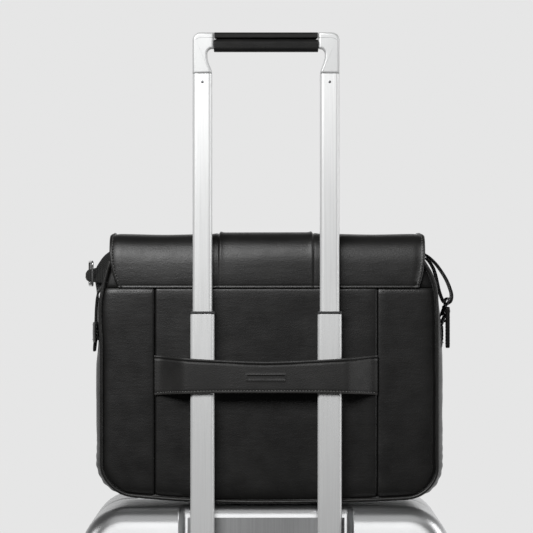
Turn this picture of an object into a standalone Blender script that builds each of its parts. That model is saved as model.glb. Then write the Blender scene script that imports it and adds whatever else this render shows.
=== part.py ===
"""Rolling laptop case: a soft flap case held by its trolley strap on the pull handle of a wheeled hard case.

The hard case stands on the floor with its flat top at TOP. -Y is the back, where the telescopic tubes run
in a channel of the back shell. The soft case rests on the top, between the tubes and the front.
Run with: blender --background --python part.py
"""

import math

import bmesh
import bpy
from mathutils import Matrix

# ---------------------------------------------------------------- driving dimensions, in metres
GAP = 0.0003  # air between touching pieces

# hard case
TOP = 0.550
CASE_WIDTH = 0.410
CASE_DEPTH = 0.220
CASE_BOTTOM = 0.060
CASE_CORNER = 0.050
CASE_EDGE = 0.020
CASE_WALL = 0.0028
SEAM_HALF = 0.0010
CHANNEL_HALF = 0.0934
CHANNEL_FLOOR_Y = -0.0865
CHANNEL_BOTTOM = 0.085

# telescopic handle
TUBE_X = 0.0702
TUBE_Y = -0.0980
UPPER_TUBE = (0.0215, 0.0120)
MIDDLE_TUBE = (0.0266, 0.0150)
SLEEVE = (0.0310, 0.0196)
TUBE_WALL = 0.0012
SLEEVE_TOP = TOP - 0.054
SLEEVE_BOTTOM = 0.100
MIDDLE_TOP = TOP + 0.2136
MIDDLE_BOTTOM = TOP - 0.180
COLLAR_HEIGHT = 0.0027
UPPER_BOTTOM = TOP + 0.085
ELBOW_BOTTOM = TOP + 0.4774
HANDLE_TOP = TOP + 0.5224
GRIP_HALF = 0.0575
GRIP_DEPTH = 0.0160
GRIP_BOTTOM = TOP + 0.5013
BUTTON_HEIGHT = 0.0058
BUTTON_GAP = 0.0020

# soft case
BAG_HALF = 0.190
BAG_BACK_Y = -0.0870
BAG_FRONT_Y = 0.0235
BAG_BOTTOM = TOP + 0.0006
BAG_CORNER = 0.045
BAG_SHOULDER = TOP + 0.200
BAG_SHOULDER_RADIUS = 0.210
BAG_RIM = TOP + 0.272
LEATHER = 0.0028
SEAM_X = 0.1236
SEAM_Z = TOP + 0.2422
PIPING_RADIUS = 0.0022
PIPING_INSET = 0.0065
PANEL_INSET = 0.0090
FLAP_HALF = 0.1745
FLAP_THICKNESS = 0.0030
FLAP_AXIS = (-0.0722, TOP + 0.2990)
FLAP_BOTTOM = TOP + 0.095
STRAP_BACK_Y = -0.1085
STRAP_THICKNESS = 0.0026
DIVIDER_Y = -0.0565
WEBBING_HALF = 0.0150
WEBBING_THICKNESS = 0.0022
BAG_MIDDLE_Y = -0.033

# casters
CASTER_X = 0.155
CASTER_Y = 0.066
WHEEL_RADIUS = 0.0225
WHEEL_WIDTH = 0.0090
WHEEL_TRAIL = 0.0130
FIN_HALF = 0.0040
AXLE_RADIUS = 0.0036

# ---------------------------------------------------------------- scene and materials


def clear_scene():
    for obj in list(bpy.data.objects):
        bpy.data.objects.remove(obj, do_unlink=True)


def new_collection(name):
    collection = bpy.data.collections.new(name)
    bpy.context.scene.collection.children.link(collection)
    return collection


def material(name, color, roughness, metallic=0.0):
    mat = bpy.data.materials.new(name)
    mat.use_nodes = True
    shader = mat.node_tree.nodes["Principled BSDF"]
    shader.inputs["Base Color"].default_value = (*color, 1.0)
    shader.inputs["Roughness"].default_value = roughness
    shader.inputs["Metallic"].default_value = metallic
    mat.diffuse_color = (*color, 1.0)
    return mat


clear_scene()
PARTS = new_collection("rolling_laptop_case")
CUTTERS = new_collection("cutters")
CALF = material("calf_leather", (0.020, 0.020, 0.020), 0.42)
SPLIT = material("strap_leather", (0.026, 0.025, 0.024), 0.60)
LINING = material("padded_lining", (0.050, 0.050, 0.055), 0.90)
WEBBING = material("webbing", (0.012, 0.012, 0.012), 0.85)
SILVER = material("silver_shell", (0.62, 0.63, 0.64), 0.28, 0.85)
TUBE = material("satin_tube", (0.80, 0.81, 0.81), 0.38, 0.60)
RESIN = material("black_resin", (0.025, 0.025, 0.026), 0.50)
TREAD = material("wheel_tread", (0.045, 0.045, 0.047), 0.75)
DARK_METAL = material("gunmetal", (0.070, 0.070, 0.075), 0.30, 0.90)


def place(name, data, mat, cutter=False):
    """Links a new object for this data. A cutter isn't part of the object."""
    obj = bpy.data.objects.new(name, data)
    data.materials.append(mat)
    (CUTTERS if cutter else PARTS).objects.link(obj)
    if cutter:
        obj.hide_render = True
        obj.display_type = "WIRE"
    return obj


def mesh_object(name, bm, mat, cutter=False):
    mesh = bpy.data.meshes.new(name)
    bm.to_mesh(mesh)
    bm.free()
    return place(name, mesh, mat, cutter)


# ---------------------------------------------------------------- modelling helpers


def block(name, low, high, mat, bevel=0.0, segments=2, cutter=False):
    """A box from its lowest to its highest corner, with its edges rounded."""
    bm = bmesh.new()
    bmesh.ops.create_cube(bm, size=1.0)
    size = [h - l for l, h in zip(low, high)]
    centre = [(h + l) / 2 for l, h in zip(low, high)]
    bmesh.ops.scale(bm, vec=size, verts=bm.verts)
    bmesh.ops.translate(bm, vec=centre, verts=bm.verts)
    obj = mesh_object(name, bm, mat, cutter)
    if bevel:
        rounding = obj.modifiers.new("rounding", "BEVEL")
        rounding.width = bevel
        rounding.segments = segments
    return obj


def cylinder(name, radius, start, end, mat, sides=24, cutter=False, end_radius=None):
    """A cylinder or cone between two points that differ along one axis."""
    length = math.dist(start, end)
    axis = max(range(3), key=lambda i: abs(end[i] - start[i]))
    turn = (Matrix.Rotation(math.pi / 2, 3, "Y"), Matrix.Rotation(-math.pi / 2, 3, "X"), Matrix.Identity(3))[axis]
    bm = bmesh.new()
    far_radius = radius if end_radius is None else end_radius
    bmesh.ops.create_cone(bm, cap_ends=True, segments=sides, radius1=radius, radius2=far_radius, depth=length)
    bmesh.ops.rotate(bm, matrix=turn, verts=bm.verts)
    bmesh.ops.translate(bm, vec=[(a + b) / 2 for a, b in zip(start, end)], verts=bm.verts)
    obj = mesh_object(name, bm, mat, cutter)
    obj.data.shade_smooth()
    obj.data.set_sharp_from_angle(angle=math.radians(35))
    return obj


def torus(name, centre, major, minor, rotation, mat, cutter=False):
    bpy.ops.mesh.primitive_torus_add(
        major_radius=major, minor_radius=minor, major_segments=20, minor_segments=8, location=centre, rotation=rotation
    )
    obj = bpy.context.object
    obj.name = name
    for collection in list(obj.users_collection):
        collection.objects.unlink(obj)
    (CUTTERS if cutter else PARTS).objects.link(obj)
    obj.data.materials.append(mat)
    obj.hide_render = cutter
    obj.display_type = "WIRE" if cutter else "TEXTURED"
    return obj


def boolean(obj, other, operation):
    cut = obj.modifiers.new(operation.lower(), "BOOLEAN")
    cut.operation = operation
    cut.object = other
    return obj


def arc(centre_x, centre_z, radius, start_deg, end_deg, steps):
    """Points along an arc, both ends included."""
    angles = [math.radians(start_deg + (end_deg - start_deg) * i / steps) for i in range(steps + 1)]
    return [(centre_x + radius * math.cos(a), centre_z + radius * math.sin(a)) for a in angles]


def rounded_rectangle(width, height, radius, centre=(0.0, 0.0), steps=3):
    x, z = width / 2 - radius, height / 2 - radius
    corners = ((x, z, 0), (-x, z, 90), (-x, -z, 180), (x, -z, 270))
    points = []
    for corner_x, corner_z, start in corners:
        points += arc(centre[0] + corner_x, centre[1] + corner_z, radius, start, start + 90, steps)
    return points


PLANES = {
    "XY": Matrix.Identity(3),
    "XZ": Matrix(((1, 0, 0), (0, 0, -1), (0, 1, 0))),
    "YZ": Matrix(((0, 0, 1), (1, 0, 0), (0, 1, 0))),
}
NORMALS = {"XY": 2, "XZ": 1, "YZ": 0}


def slab(name, plane, outlines, low, high, mat):
    """A flat outline in a plane, with any further outlines as holes, from low to high along its normal."""
    curve = bpy.data.curves.new(name, "CURVE")
    curve.dimensions = "2D"
    curve.fill_mode = "BOTH"
    curve.extrude = (high - low) / 2
    for outline in outlines:
        spline = curve.splines.new("POLY")
        spline.points.add(len(outline) - 1)
        for point, (a, b) in zip(spline.points, outline):
            point.co = (a, b, 0.0, 1.0)
        spline.use_cyclic_u = True
    obj = place(name, curve, mat)
    location = [0.0, 0.0, 0.0]
    location[NORMALS[plane]] = (low + high) / 2
    obj.matrix_world = Matrix.Translation(location) @ PLANES[plane].to_4x4()
    return obj


def ribbon(name, path, axis, low, high, thickness, mat):
    """An open path of 2D points swept straight along an axis from low to high and given thickness both ways."""
    others = [i for i in range(3) if i != axis]
    bm = bmesh.new()
    row = []
    for a, b in path:
        corner = [0.0, 0.0, 0.0]
        corner[others[0]], corner[others[1]], corner[axis] = a, b, low
        row.append(bm.verts.new(corner))
    edges = [bm.edges.new(pair) for pair in zip(row, row[1:])]
    swept = bmesh.ops.extrude_edge_only(bm, edges=edges)["geom"]
    move = [0.0, 0.0, 0.0]
    move[axis] = high - low
    bmesh.ops.translate(bm, vec=move, verts=[g for g in swept if isinstance(g, bmesh.types.BMVert)])
    obj = mesh_object(name, bm, mat)
    shell = obj.modifiers.new("thickness", "SOLIDIFY")
    shell.thickness = thickness
    shell.offset = 0.0
    shell.use_even_offset = True
    return obj


def wire(name, points, radius, mat, cyclic=False, resolution=2):
    """A round wire or cord along 3D points."""
    curve = bpy.data.curves.new(name, "CURVE")
    curve.dimensions = "3D"
    curve.bevel_depth = radius
    curve.bevel_resolution = resolution
    curve.use_fill_caps = not cyclic
    spline = curve.splines.new("POLY")
    spline.points.add(len(points) - 1)
    for point, co in zip(spline.points, points):
        point.co = (*co, 1.0)
    spline.use_cyclic_u = cyclic
    return place(name, curve, mat)


# ---------------------------------------------------------------- hard case


def shell_half(name, side, grow, open_past, mat, cutter=False):
    """Half of a rounded box, open plane towards Y = 0; grow insets it, and open_past runs it over the seam."""
    half_x = CASE_WIDTH / 2 - grow
    low_z, high_z = CASE_BOTTOM + grow, TOP - grow
    closed_y = side * (CASE_DEPTH / 2 - grow)
    seam_y = side * SEAM_HALF - side * open_past
    bm = bmesh.new()
    bmesh.ops.create_cube(bm, size=1.0)
    bmesh.ops.scale(bm, vec=(2 * half_x, abs(closed_y - seam_y), high_z - low_z), verts=bm.verts)
    bmesh.ops.translate(bm, vec=(0, (closed_y + seam_y) / 2, (low_z + high_z) / 2), verts=bm.verts)
    along_y = [e for e in bm.edges if abs(e.verts[0].co.y - e.verts[1].co.y) > 1e-4]
    bmesh.ops.bevel(
        bm, geom=along_y, offset=CASE_CORNER - grow, segments=5, profile=0.5, affect="EDGES", material=-1
    )
    back_rim = [e for e in bm.edges if all(abs(v.co.y - closed_y) < 1e-6 for v in e.verts)]
    bmesh.ops.bevel(
        bm, geom=back_rim, offset=CASE_EDGE - grow, segments=3, profile=0.5, affect="EDGES", material=-1
    )
    return mesh_object(name, bm, mat, cutter)


def case_shells():
    back = shell_half("case_back_shell", -1, 0.0, 0.0, SILVER)
    channel_low = (-CHANNEL_HALF, -CASE_DEPTH, CHANNEL_BOTTOM)
    channel_high = (CHANNEL_HALF, CHANNEL_FLOOR_Y, TOP + 0.05)
    channel = block("cut_channel", channel_low, channel_high, SILVER, bevel=0.006, segments=2, cutter=True)
    wall = CASE_WALL
    step_low = (-CHANNEL_HALF - wall, -CASE_DEPTH, CHANNEL_BOTTOM - wall)
    step_high = (CHANNEL_HALF + wall, CHANNEL_FLOOR_Y + wall, TOP + 0.05)
    step = block("cut_channel_wall", step_low, step_high, SILVER, bevel=0.006, segments=2, cutter=True)
    hollow = shell_half("cut_back_hollow", -1, wall, 0.010, SILVER, cutter=True)
    boolean(hollow, step, "DIFFERENCE")
    boolean(back, channel, "DIFFERENCE")
    boolean(back, hollow, "DIFFERENCE")
    front = shell_half("case_front_shell", 1, 0.0, 0.0, SILVER)
    boolean(front, shell_half("cut_front_hollow", 1, wall, 0.010, SILVER, cutter=True), "DIFFERENCE")
    height = TOP - CASE_BOTTOM
    centre = (0.0, (TOP + CASE_BOTTOM) / 2)
    inset = 0.0006
    outer = rounded_rectangle(CASE_WIDTH - 2 * inset, height - 2 * inset, CASE_CORNER, centre, 5)
    inner = rounded_rectangle(CASE_WIDTH - 0.0070, height - 0.0070, CASE_CORNER - 0.003, centre, 5)
    slab("case_seam_seal", "XZ", [outer, inner], -SEAM_HALF + GAP, SEAM_HALF - GAP, RESIN)


def handle_brackets():
    """Two resin bars across the channel that hold the fixed sleeves."""
    half, inner_y, outer_y, corner = CHANNEL_HALF - 0.0008, CHANNEL_FLOOR_Y - 0.0004, -0.1092, 0.0080
    outline = [(-half, outer_y), (half, outer_y)]
    outline += arc(half - corner, inner_y - corner, corner, 0, 90, 4)
    outline += arc(corner - half, inner_y - corner, corner, 90, 180, 4)
    seat = [s + 2 * GAP for s in SLEEVE]
    holes = [rounded_rectangle(*seat, 0.0025, (x, TUBE_Y)) for x in (-TUBE_X, TUBE_X)]
    slab("handle_bracket_upper", "XY", [outline, *holes], SLEEVE_TOP - 0.022, SLEEVE_TOP + 0.002, RESIN)
    slab("handle_bracket_lower", "XY", [outline, *holes], SLEEVE_BOTTOM - 0.004, SLEEVE_BOTTOM + 0.022, RESIN)


def rectangular_tube(name, size, wall, low_z, high_z, x, mat, radius=0.0025):
    outer = rounded_rectangle(size[0], size[1], radius, (x, TUBE_Y))
    inner = rounded_rectangle(size[0] - 2 * wall, size[1] - 2 * wall, radius - 0.0008, (x, TUBE_Y))
    return slab(name, "XY", [outer, inner], low_z, high_z, mat)


def telescopic_tubes():
    collar_low = MIDDLE_TOP + GAP
    for side, x in (("left", -TUBE_X), ("right", TUBE_X)):
        rectangular_tube(f"fixed_sleeve_{side}", SLEEVE, TUBE_WALL, SLEEVE_BOTTOM, SLEEVE_TOP, x, TUBE)
        rectangular_tube(f"middle_tube_{side}", MIDDLE_TUBE, TUBE_WALL, MIDDLE_BOTTOM, MIDDLE_TOP, x, TUBE)
        rectangular_tube(f"upper_tube_{side}", UPPER_TUBE, TUBE_WALL, UPPER_BOTTOM, ELBOW_BOTTOM - GAP, x, TUBE)
        collar = (MIDDLE_TUBE[0] + 0.0009, MIDDLE_TUBE[1] + 0.0009)
        rim = (collar[0] - UPPER_TUBE[0] - 0.0007) / 2
        outer = rounded_rectangle(*collar, 0.0025, (x, TUBE_Y))
        inner = rounded_rectangle(collar[0] - 2 * rim, UPPER_TUBE[1] + 0.0007, 0.0022, (x, TUBE_Y))
        slab(f"tube_collar_{side}", "XY", [outer, inner], collar_low, collar_low + COLLAR_HEIGHT, RESIN)


def handle_elbow_outline(side):
    """One corner piece of the pull handle in X-Z: a leg that narrows upwards and turns into the grip."""
    outer_x = TUBE_X + UPPER_TUBE[0] / 2
    corner = 0.0095
    points = [(0.0598, ELBOW_BOTTOM), (outer_x, ELBOW_BOTTOM)]
    points += arc(outer_x - corner, HANDLE_TOP - corner, corner, 0, 90, 5)
    points += [(GRIP_HALF + GAP, HANDLE_TOP), (GRIP_HALF + GAP, GRIP_BOTTOM + 0.0031)]
    points += arc(0.0600, GRIP_BOTTOM - 0.0019, 0.0050, 90, 0, 4)
    points += [(0.0600, ELBOW_BOTTOM + 0.0036)]
    return [(side * x, z) for x, z in points]


def pull_handle():
    half_depth = UPPER_TUBE[1] / 2
    for name, side in (("left", -1), ("right", 1)):
        low, high = TUBE_Y - half_depth, TUBE_Y + half_depth
        slab(f"handle_elbow_{name}", "XZ", [handle_elbow_outline(side)], low, high, TUBE)
    grip_top = HANDLE_TOP - BUTTON_HEIGHT - BUTTON_GAP
    grip_height = grip_top - GRIP_BOTTOM
    grip = rounded_rectangle(GRIP_DEPTH, grip_height, 0.004, (TUBE_Y, (grip_top + GRIP_BOTTOM) / 2), 4)
    slab("grip", "YZ", [grip], -GRIP_HALF, GRIP_HALF, SPLIT)
    low_z = HANDLE_TOP - BUTTON_HEIGHT
    bar_half = GRIP_DEPTH / 2 - GAP
    bar = [(TUBE_Y - bar_half, low_z), (TUBE_Y + bar_half, low_z)]
    bar += arc(TUBE_Y + bar_half - 0.003, HANDLE_TOP - 0.003, 0.003, 0, 90, 3)
    bar += arc(TUBE_Y - bar_half + 0.003, HANDLE_TOP - 0.003, 0.003, 90, 180, 3)
    slab("release_bar", "YZ", [bar], -GRIP_HALF + GAP, GRIP_HALF - GAP, SPLIT)


def caster(name, x, y):
    """A twin-wheel swivel caster: fixed cup, swivelling fork with a central fin, and a pair of wheels."""
    crown_low, crown_high = 0.0465, 0.0512
    cylinder(f"caster_cup_{name}", 0.0235, (x, y, crown_high + GAP), (x, y, CASE_BOTTOM - GAP), RESIN, 28)
    fork = cylinder(f"caster_fork_{name}", 0.0205, (x, y, crown_low), (x, y, crown_high), DARK_METAL, 28)
    wheel_y = y + WHEEL_TRAIL
    fin_low = (x - FIN_HALF, y - 0.012, 0.0165)
    fin_high = (x + FIN_HALF, wheel_y + 0.0065, crown_low + 0.001)
    fin = block(f"cut_fin_{name}", fin_low, fin_high, DARK_METAL, cutter=True)
    bore_start = (x - 0.02, wheel_y, WHEEL_RADIUS)
    bore_end = (x + 0.02, wheel_y, WHEEL_RADIUS)
    bore = cylinder(f"cut_bore_{name}", AXLE_RADIUS + 0.0004, bore_start, bore_end, DARK_METAL, 20, cutter=True)
    boolean(fork, fin, "UNION")
    boolean(fork, bore, "DIFFERENCE")
    wheel_pair(f"caster_wheels_{name}", x, wheel_y)


def wheel_pair(name, x, y):
    """Two wheels and the axle between them as one turned piece; the profile is radius against place along X."""
    inner, outer, shoulder = FIN_HALF + 0.0006, FIN_HALF + 0.0006 + WHEEL_WIDTH, 0.0018
    right = [
        (0.0, outer - 0.001),
        (0.0120, outer - 0.001),
        (WHEEL_RADIUS - shoulder, outer),
        (WHEEL_RADIUS, outer - shoulder),
        (WHEEL_RADIUS, inner + shoulder),
        (WHEEL_RADIUS - shoulder, inner),
        (AXLE_RADIUS, inner),
    ]
    profile = right + [(radius, -place) for radius, place in reversed(right)]
    bm = bmesh.new()
    verts = [bm.verts.new((radius, 0.0, place)) for radius, place in profile]
    for pair in zip(verts, verts[1:]):
        bm.edges.new(pair)
    obj = mesh_object(name, bm, TREAD)
    turn = obj.modifiers.new("turn", "SCREW")
    turn.axis = "Z"
    turn.steps = turn.render_steps = 24
    turn.use_merge_vertices = True
    turn.merge_threshold = 0.00001
    turn.use_smooth_shade = True
    obj.matrix_world = Matrix.Translation((x, y, WHEEL_RADIUS)) @ Matrix.Rotation(math.pi / 2, 4, "Y")
    return obj


HINGE_X = -CASE_WIDTH / 2 - 0.0035
HINGE_KNUCKLE = 0.0030


def shell_hinge(name, low_z, high_z):
    """One leaf on each half: the back leaf's pin runs through the front leaf's two end knuckles."""
    third = (high_z - low_z) / 3
    leaf_x = (-CASE_WIDTH / 2 - 0.0020, -CASE_WIDTH / 2 - GAP)
    back = block(f"{name}_back_leaf", (leaf_x[0], -0.022, low_z), (leaf_x[1], -0.0045, high_z), DARK_METAL)
    arm_low = (leaf_x[0] - 0.0005, -0.006, low_z + third + GAP)
    arm_high = (leaf_x[1] - 0.0003, 0.0, high_z - third - GAP)
    boolean(back, block(f"cut_{name}_arm", arm_low, arm_high, DARK_METAL, cutter=True), "UNION")
    knuckle_ends = [(HINGE_X, 0, low_z + third + GAP), (HINGE_X, 0, high_z - third - GAP)]
    knuckle = cylinder(f"cut_{name}_middle", HINGE_KNUCKLE, *knuckle_ends, DARK_METAL, 16, cutter=True)
    boolean(back, knuckle, "UNION")
    pin = cylinder(
        f"cut_{name}_pin", 0.0012, (HINGE_X, 0, low_z), (HINGE_X, 0, high_z), DARK_METAL, 12, cutter=True
    )
    boolean(back, pin, "UNION")
    front = block(f"{name}_front_leaf", (leaf_x[0], 0.0045, low_z), (leaf_x[1], 0.022, high_z), DARK_METAL)
    for end, z in (("a", low_z), ("b", high_z - third)):
        arm = block(
            f"cut_{name}_arm_{end}", (leaf_x[0] - 0.0005, 0.0, z), (leaf_x[1] - 0.0003, 0.006, z + third),
            DARK_METAL, cutter=True,
        )
        boolean(front, arm, "UNION")
        ends = [(HINGE_X, 0, z), (HINGE_X, 0, z + third)]
        boolean(front, cylinder(f"cut_{name}_end_{end}", HINGE_KNUCKLE, *ends, DARK_METAL, 16, cutter=True), "UNION")
    bore_ends = [(HINGE_X, 0, low_z - 0.01), (HINGE_X, 0, high_z + 0.01)]
    bore = cylinder(f"cut_{name}_bore", 0.0015, *bore_ends, DARK_METAL, 12, cutter=True)
    boolean(front, bore, "DIFFERENCE")


LATCH_AXIS_X = CASE_WIDTH / 2 + GAP + 0.0037
LATCH_AXIS_Y = -0.0300


def shell_latch(low_z, high_z):
    """A lever on the back half that lies towards the seam, and the catch plate on the front half."""
    face = CASE_WIDTH / 2 + GAP
    lever_low = (face, LATCH_AXIS_Y - 0.0015, low_z)
    lever_high = (face + 0.0060, -0.0020, high_z)
    block("latch_lever", lever_low, lever_high, DARK_METAL, bevel=0.0015, segments=2)
    block(
        "latch_catch", (face, 0.0015, low_z + 0.004), (face + 0.0050, 0.0120, high_z - 0.004), DARK_METAL,
        bevel=0.0012, segments=2,
    )


def side_handle():
    """A carry handle on the side of the back half: two end mounts and a flexible bar that lifts."""
    face = CASE_WIDTH / 2 + GAP
    low_z, high_z = 0.245, 0.395
    y = -0.055
    for name, z in (("lower", low_z), ("upper", high_z)):
        block(
            f"side_handle_mount_{name}", (face, y - 0.011, z - 0.014), (face + 0.0060, y + 0.011, z + 0.014),
            RESIN, bevel=0.002, segments=2,
        )
    x = face + 0.0060 + GAP + 0.0020
    path = [(x, low_z - 0.008), (x, low_z + 0.012), (x + 0.004, low_z + 0.030)]
    path += [(x + 0.004, high_z - 0.030), (x, high_z - 0.012), (x, high_z + 0.008)]
    ribbon("side_handle_bar", path, 1, y - 0.009, y + 0.009, 0.0034, RESIN)


def hard_case():
    case_shells()
    handle_brackets()
    telescopic_tubes()
    pull_handle()
    for name, x, y in (
        ("back_left", -CASTER_X, -CASTER_Y),
        ("back_right", CASTER_X, -CASTER_Y),
        ("front_left", -CASTER_X, CASTER_Y),
        ("front_right", CASTER_X, CASTER_Y),
    ):
        caster(name, x, y)
    shell_hinge("hinge", 0.245, 0.365)
    shell_latch(0.445, 0.495)
    side_handle()


# ---------------------------------------------------------------- soft case


def half_width(z):
    """Half the soft case's width at a height above its lower corners."""
    rise = max(0.0, z - BAG_SHOULDER)
    return BAG_HALF - BAG_SHOULDER_RADIUS + math.sqrt(BAG_SHOULDER_RADIUS**2 - rise**2)


def side_points(inset, top, low=None):
    """The right side of the outline from the bottom's flat stretch up to the top, moved in by inset."""
    radius = BAG_CORNER - inset
    centre_x, centre_z = BAG_HALF - BAG_CORNER, BAG_BOTTOM + BAG_CORNER
    points = arc(centre_x, centre_z, radius, -90, 0, 6)
    steps = 5
    for i in range(steps + 1):
        z = BAG_SHOULDER + (top - BAG_SHOULDER) * i / steps
        points.append((half_width(z) - inset, z))
    return points


def body_outline(inset, top):
    """The soft case's outline, open at the top: from the top left, round the bottom, to the top right."""
    right = side_points(inset, top)
    return [(-x, z) for x, z in reversed(right)] + right


def soft_body():
    band = LEATHER / 2
    ribbon("side_gusset", body_outline(band, BAG_RIM), 1, BAG_BACK_Y + 0.0045, BAG_FRONT_Y - 0.0035, LEATHER, CALF)
    back = (BAG_BACK_Y, BAG_BACK_Y + LEATHER)
    seam_gap = GAP / 2
    for name, side in (("left", -1), ("right", 1)):
        outline = [(SEAM_X + seam_gap, BAG_BOTTOM + PANEL_INSET)]
        outline += side_points(PANEL_INSET, SEAM_Z - seam_gap)
        outline += [(SEAM_X + seam_gap, SEAM_Z - seam_gap)]
        slab(f"back_panel_{name}", "XZ", [[(side * x, z) for x, z in outline]], *back, CALF)
    edge = SEAM_X - seam_gap
    low, high = BAG_BOTTOM + PANEL_INSET, SEAM_Z - seam_gap
    slab("back_panel_center", "XZ", [[(-edge, low), (edge, low), (edge, high), (-edge, high)]], *back, CALF)
    yoke_y = BAG_BACK_Y + 0.0040
    yoke_half = [(half_width(z) - PANEL_INSET, z) for z in (SEAM_Z + seam_gap, TOP + 0.252, TOP + 0.262)]
    yoke = yoke_half + [(-x, z) for x, z in reversed(yoke_half)]
    slab("back_yoke", "XZ", [yoke], yoke_y, yoke_y + LEATHER, CALF)
    front = body_outline(PANEL_INSET, BAG_RIM)
    slab("front_panel", "XZ", [front], BAG_FRONT_Y - LEATHER, BAG_FRONT_Y, CALF)
    for name, y, top in (("back", BAG_BACK_Y + 0.0010, TOP + 0.2508), ("front", BAG_FRONT_Y - 0.0010, BAG_RIM)):
        path = [(x, y, z) for x, z in body_outline(PIPING_INSET, top)]
        wire(f"piping_{name}", path, PIPING_RADIUS, CALF, resolution=1)
    board_low = (-0.135, BAG_BACK_Y + 0.006, BAG_BOTTOM + LEATHER + 0.0006)
    board_high = (0.135, BAG_FRONT_Y - 0.006, BAG_BOTTOM + LEATHER + 0.0030)
    block("bottom_board", board_low, board_high, RESIN)
    divider = rounded_rectangle(0.334, 0.240, 0.018, (0.0, BAG_BOTTOM + 0.130))
    slab("laptop_divider", "XZ", [divider], DIVIDER_Y - 0.003, DIVIDER_Y + 0.003, LINING)


def flap():
    """The flap: its sewn back stretch stays with the body, and the rest hinges at the top back edge."""
    y, z = FLAP_AXIS
    half = FLAP_THICKNESS / 2
    under = z - half - GAP
    fixed = [(BAG_BACK_Y + 0.0012, SEAM_Z + 0.0009), (BAG_BACK_Y + 0.0012, TOP + 0.262)]
    fixed += [(BAG_BACK_Y + 0.0024, TOP + 0.277), (BAG_BACK_Y + 0.0062, TOP + 0.290), (y - 0.0038, under - 0.0012)]
    fixed += [(y - 0.0006, under)]
    ribbon("flap_back", fixed, 0, -FLAP_HALF, FLAP_HALF, FLAP_THICKNESS, CALF)
    moving = [(y + 0.0006, under), (-0.056, TOP + 0.3005), (-0.030, TOP + 0.3015), (0.000, TOP + 0.3000)]
    moving += [(0.018, TOP + 0.2945), (0.0280, TOP + 0.2840), (0.0305, TOP + 0.2680), (0.0305, FLAP_BOTTOM)]
    ribbon("flap_front", moving, 0, -FLAP_HALF, FLAP_HALF, FLAP_THICKNESS, CALF)


def trolley_strap():
    """The leather band sewn into both back seams that the tubes pass behind, narrower in the middle."""
    end_half, middle_half, centre_z = 0.0222, 0.0165, TOP + 0.1455
    seam_y = BAG_BACK_Y - STRAP_THICKNESS / 2 - GAP
    flat_half, taper_half = 0.0890, 0.1190
    stations = [-SEAM_X, -taper_half, -0.105, -flat_half, -0.0445, 0.0, 0.0445, flat_half, 0.105, taper_half, SEAM_X]
    bm = bmesh.new()
    rows = []
    for x in stations:
        share = min(1.0, max(0.0, (abs(x) - flat_half) / (taper_half - flat_half)))
        y = STRAP_BACK_Y + (seam_y - STRAP_BACK_Y) * share
        half = middle_half + (end_half - middle_half) * (x / SEAM_X) ** 2
        rows.append((bm.verts.new((x, y, centre_z - half)), bm.verts.new((x, y, centre_z + half))))
    for (low, high), (next_low, next_high) in zip(rows, rows[1:]):
        bm.faces.new((low, next_low, next_high, high))
    obj = mesh_object("trolley_strap", bm, SPLIT)
    shell = obj.modifiers.new("thickness", "SOLIDIFY")
    shell.thickness = STRAP_THICKNESS
    shell.offset = 0.0


TAB_BOTTOM = TOP + 0.1765
TAB_HALF = 0.0100
TAB_LEATHER = 0.0014
TAB_BEND = 0.0026
TAB_BEND_X = BAG_HALF + TAB_LEATHER / 2 + 0.0005 + TAB_BEND
TAB_BEND_Z = TOP + 0.1980
RING_WIRE = 0.0013
RING_HEIGHT = 0.0125
HOOK_LEAN = math.radians(20)
LOOP_LOW = 0.0262
LOOP_HIGH = 0.0365
LOOP_BAR = 0.0026


def hook_frame():
    """Up along the line that ring, hook and strap end share, which leans outwards from the tab's fold."""
    return Matrix.Translation((TAB_BEND_X, BAG_MIDDLE_Y, TAB_BEND_Z)) @ Matrix.Rotation(HOOK_LEAN, 4, "Y")


def side_fittings():
    """On the right a leather tab folded round a D ring with a snap hook; on the left a patch over the strap."""
    x, z, y = TAB_BEND_X, TAB_BEND_Z, BAG_MIDDLE_Y
    path = [(x - TAB_BEND, TAB_BOTTOM)] + arc(x, z, TAB_BEND, 180, 0, 5) + [(x + TAB_BEND, TAB_BOTTOM)]
    ribbon("side_tab_right", path, 1, y - TAB_HALF, y + TAB_HALF, TAB_LEATHER, CALF)
    patch = rounded_rectangle(0.037, 0.0200, 0.003, (y, TOP + 0.1925))
    patch_x = -BAG_HALF - 0.0034
    slab("side_tab_left", "YZ", [patch], patch_x - TAB_LEATHER, patch_x, CALF)
    ring_half = TAB_HALF + 0.0022
    bow = [(u, v * RING_HEIGHT / ring_half) for u, v in arc(0.0, 0.0, ring_half, 0, 180, 8)]
    points = [hook_frame() @ Matrix.Translation((0.0, across, along)) for across, along in bow]
    wire("d_ring_right", [p.translation for p in points], RING_WIRE, DARK_METAL, cyclic=True, resolution=1)
    snap_hook()


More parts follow.
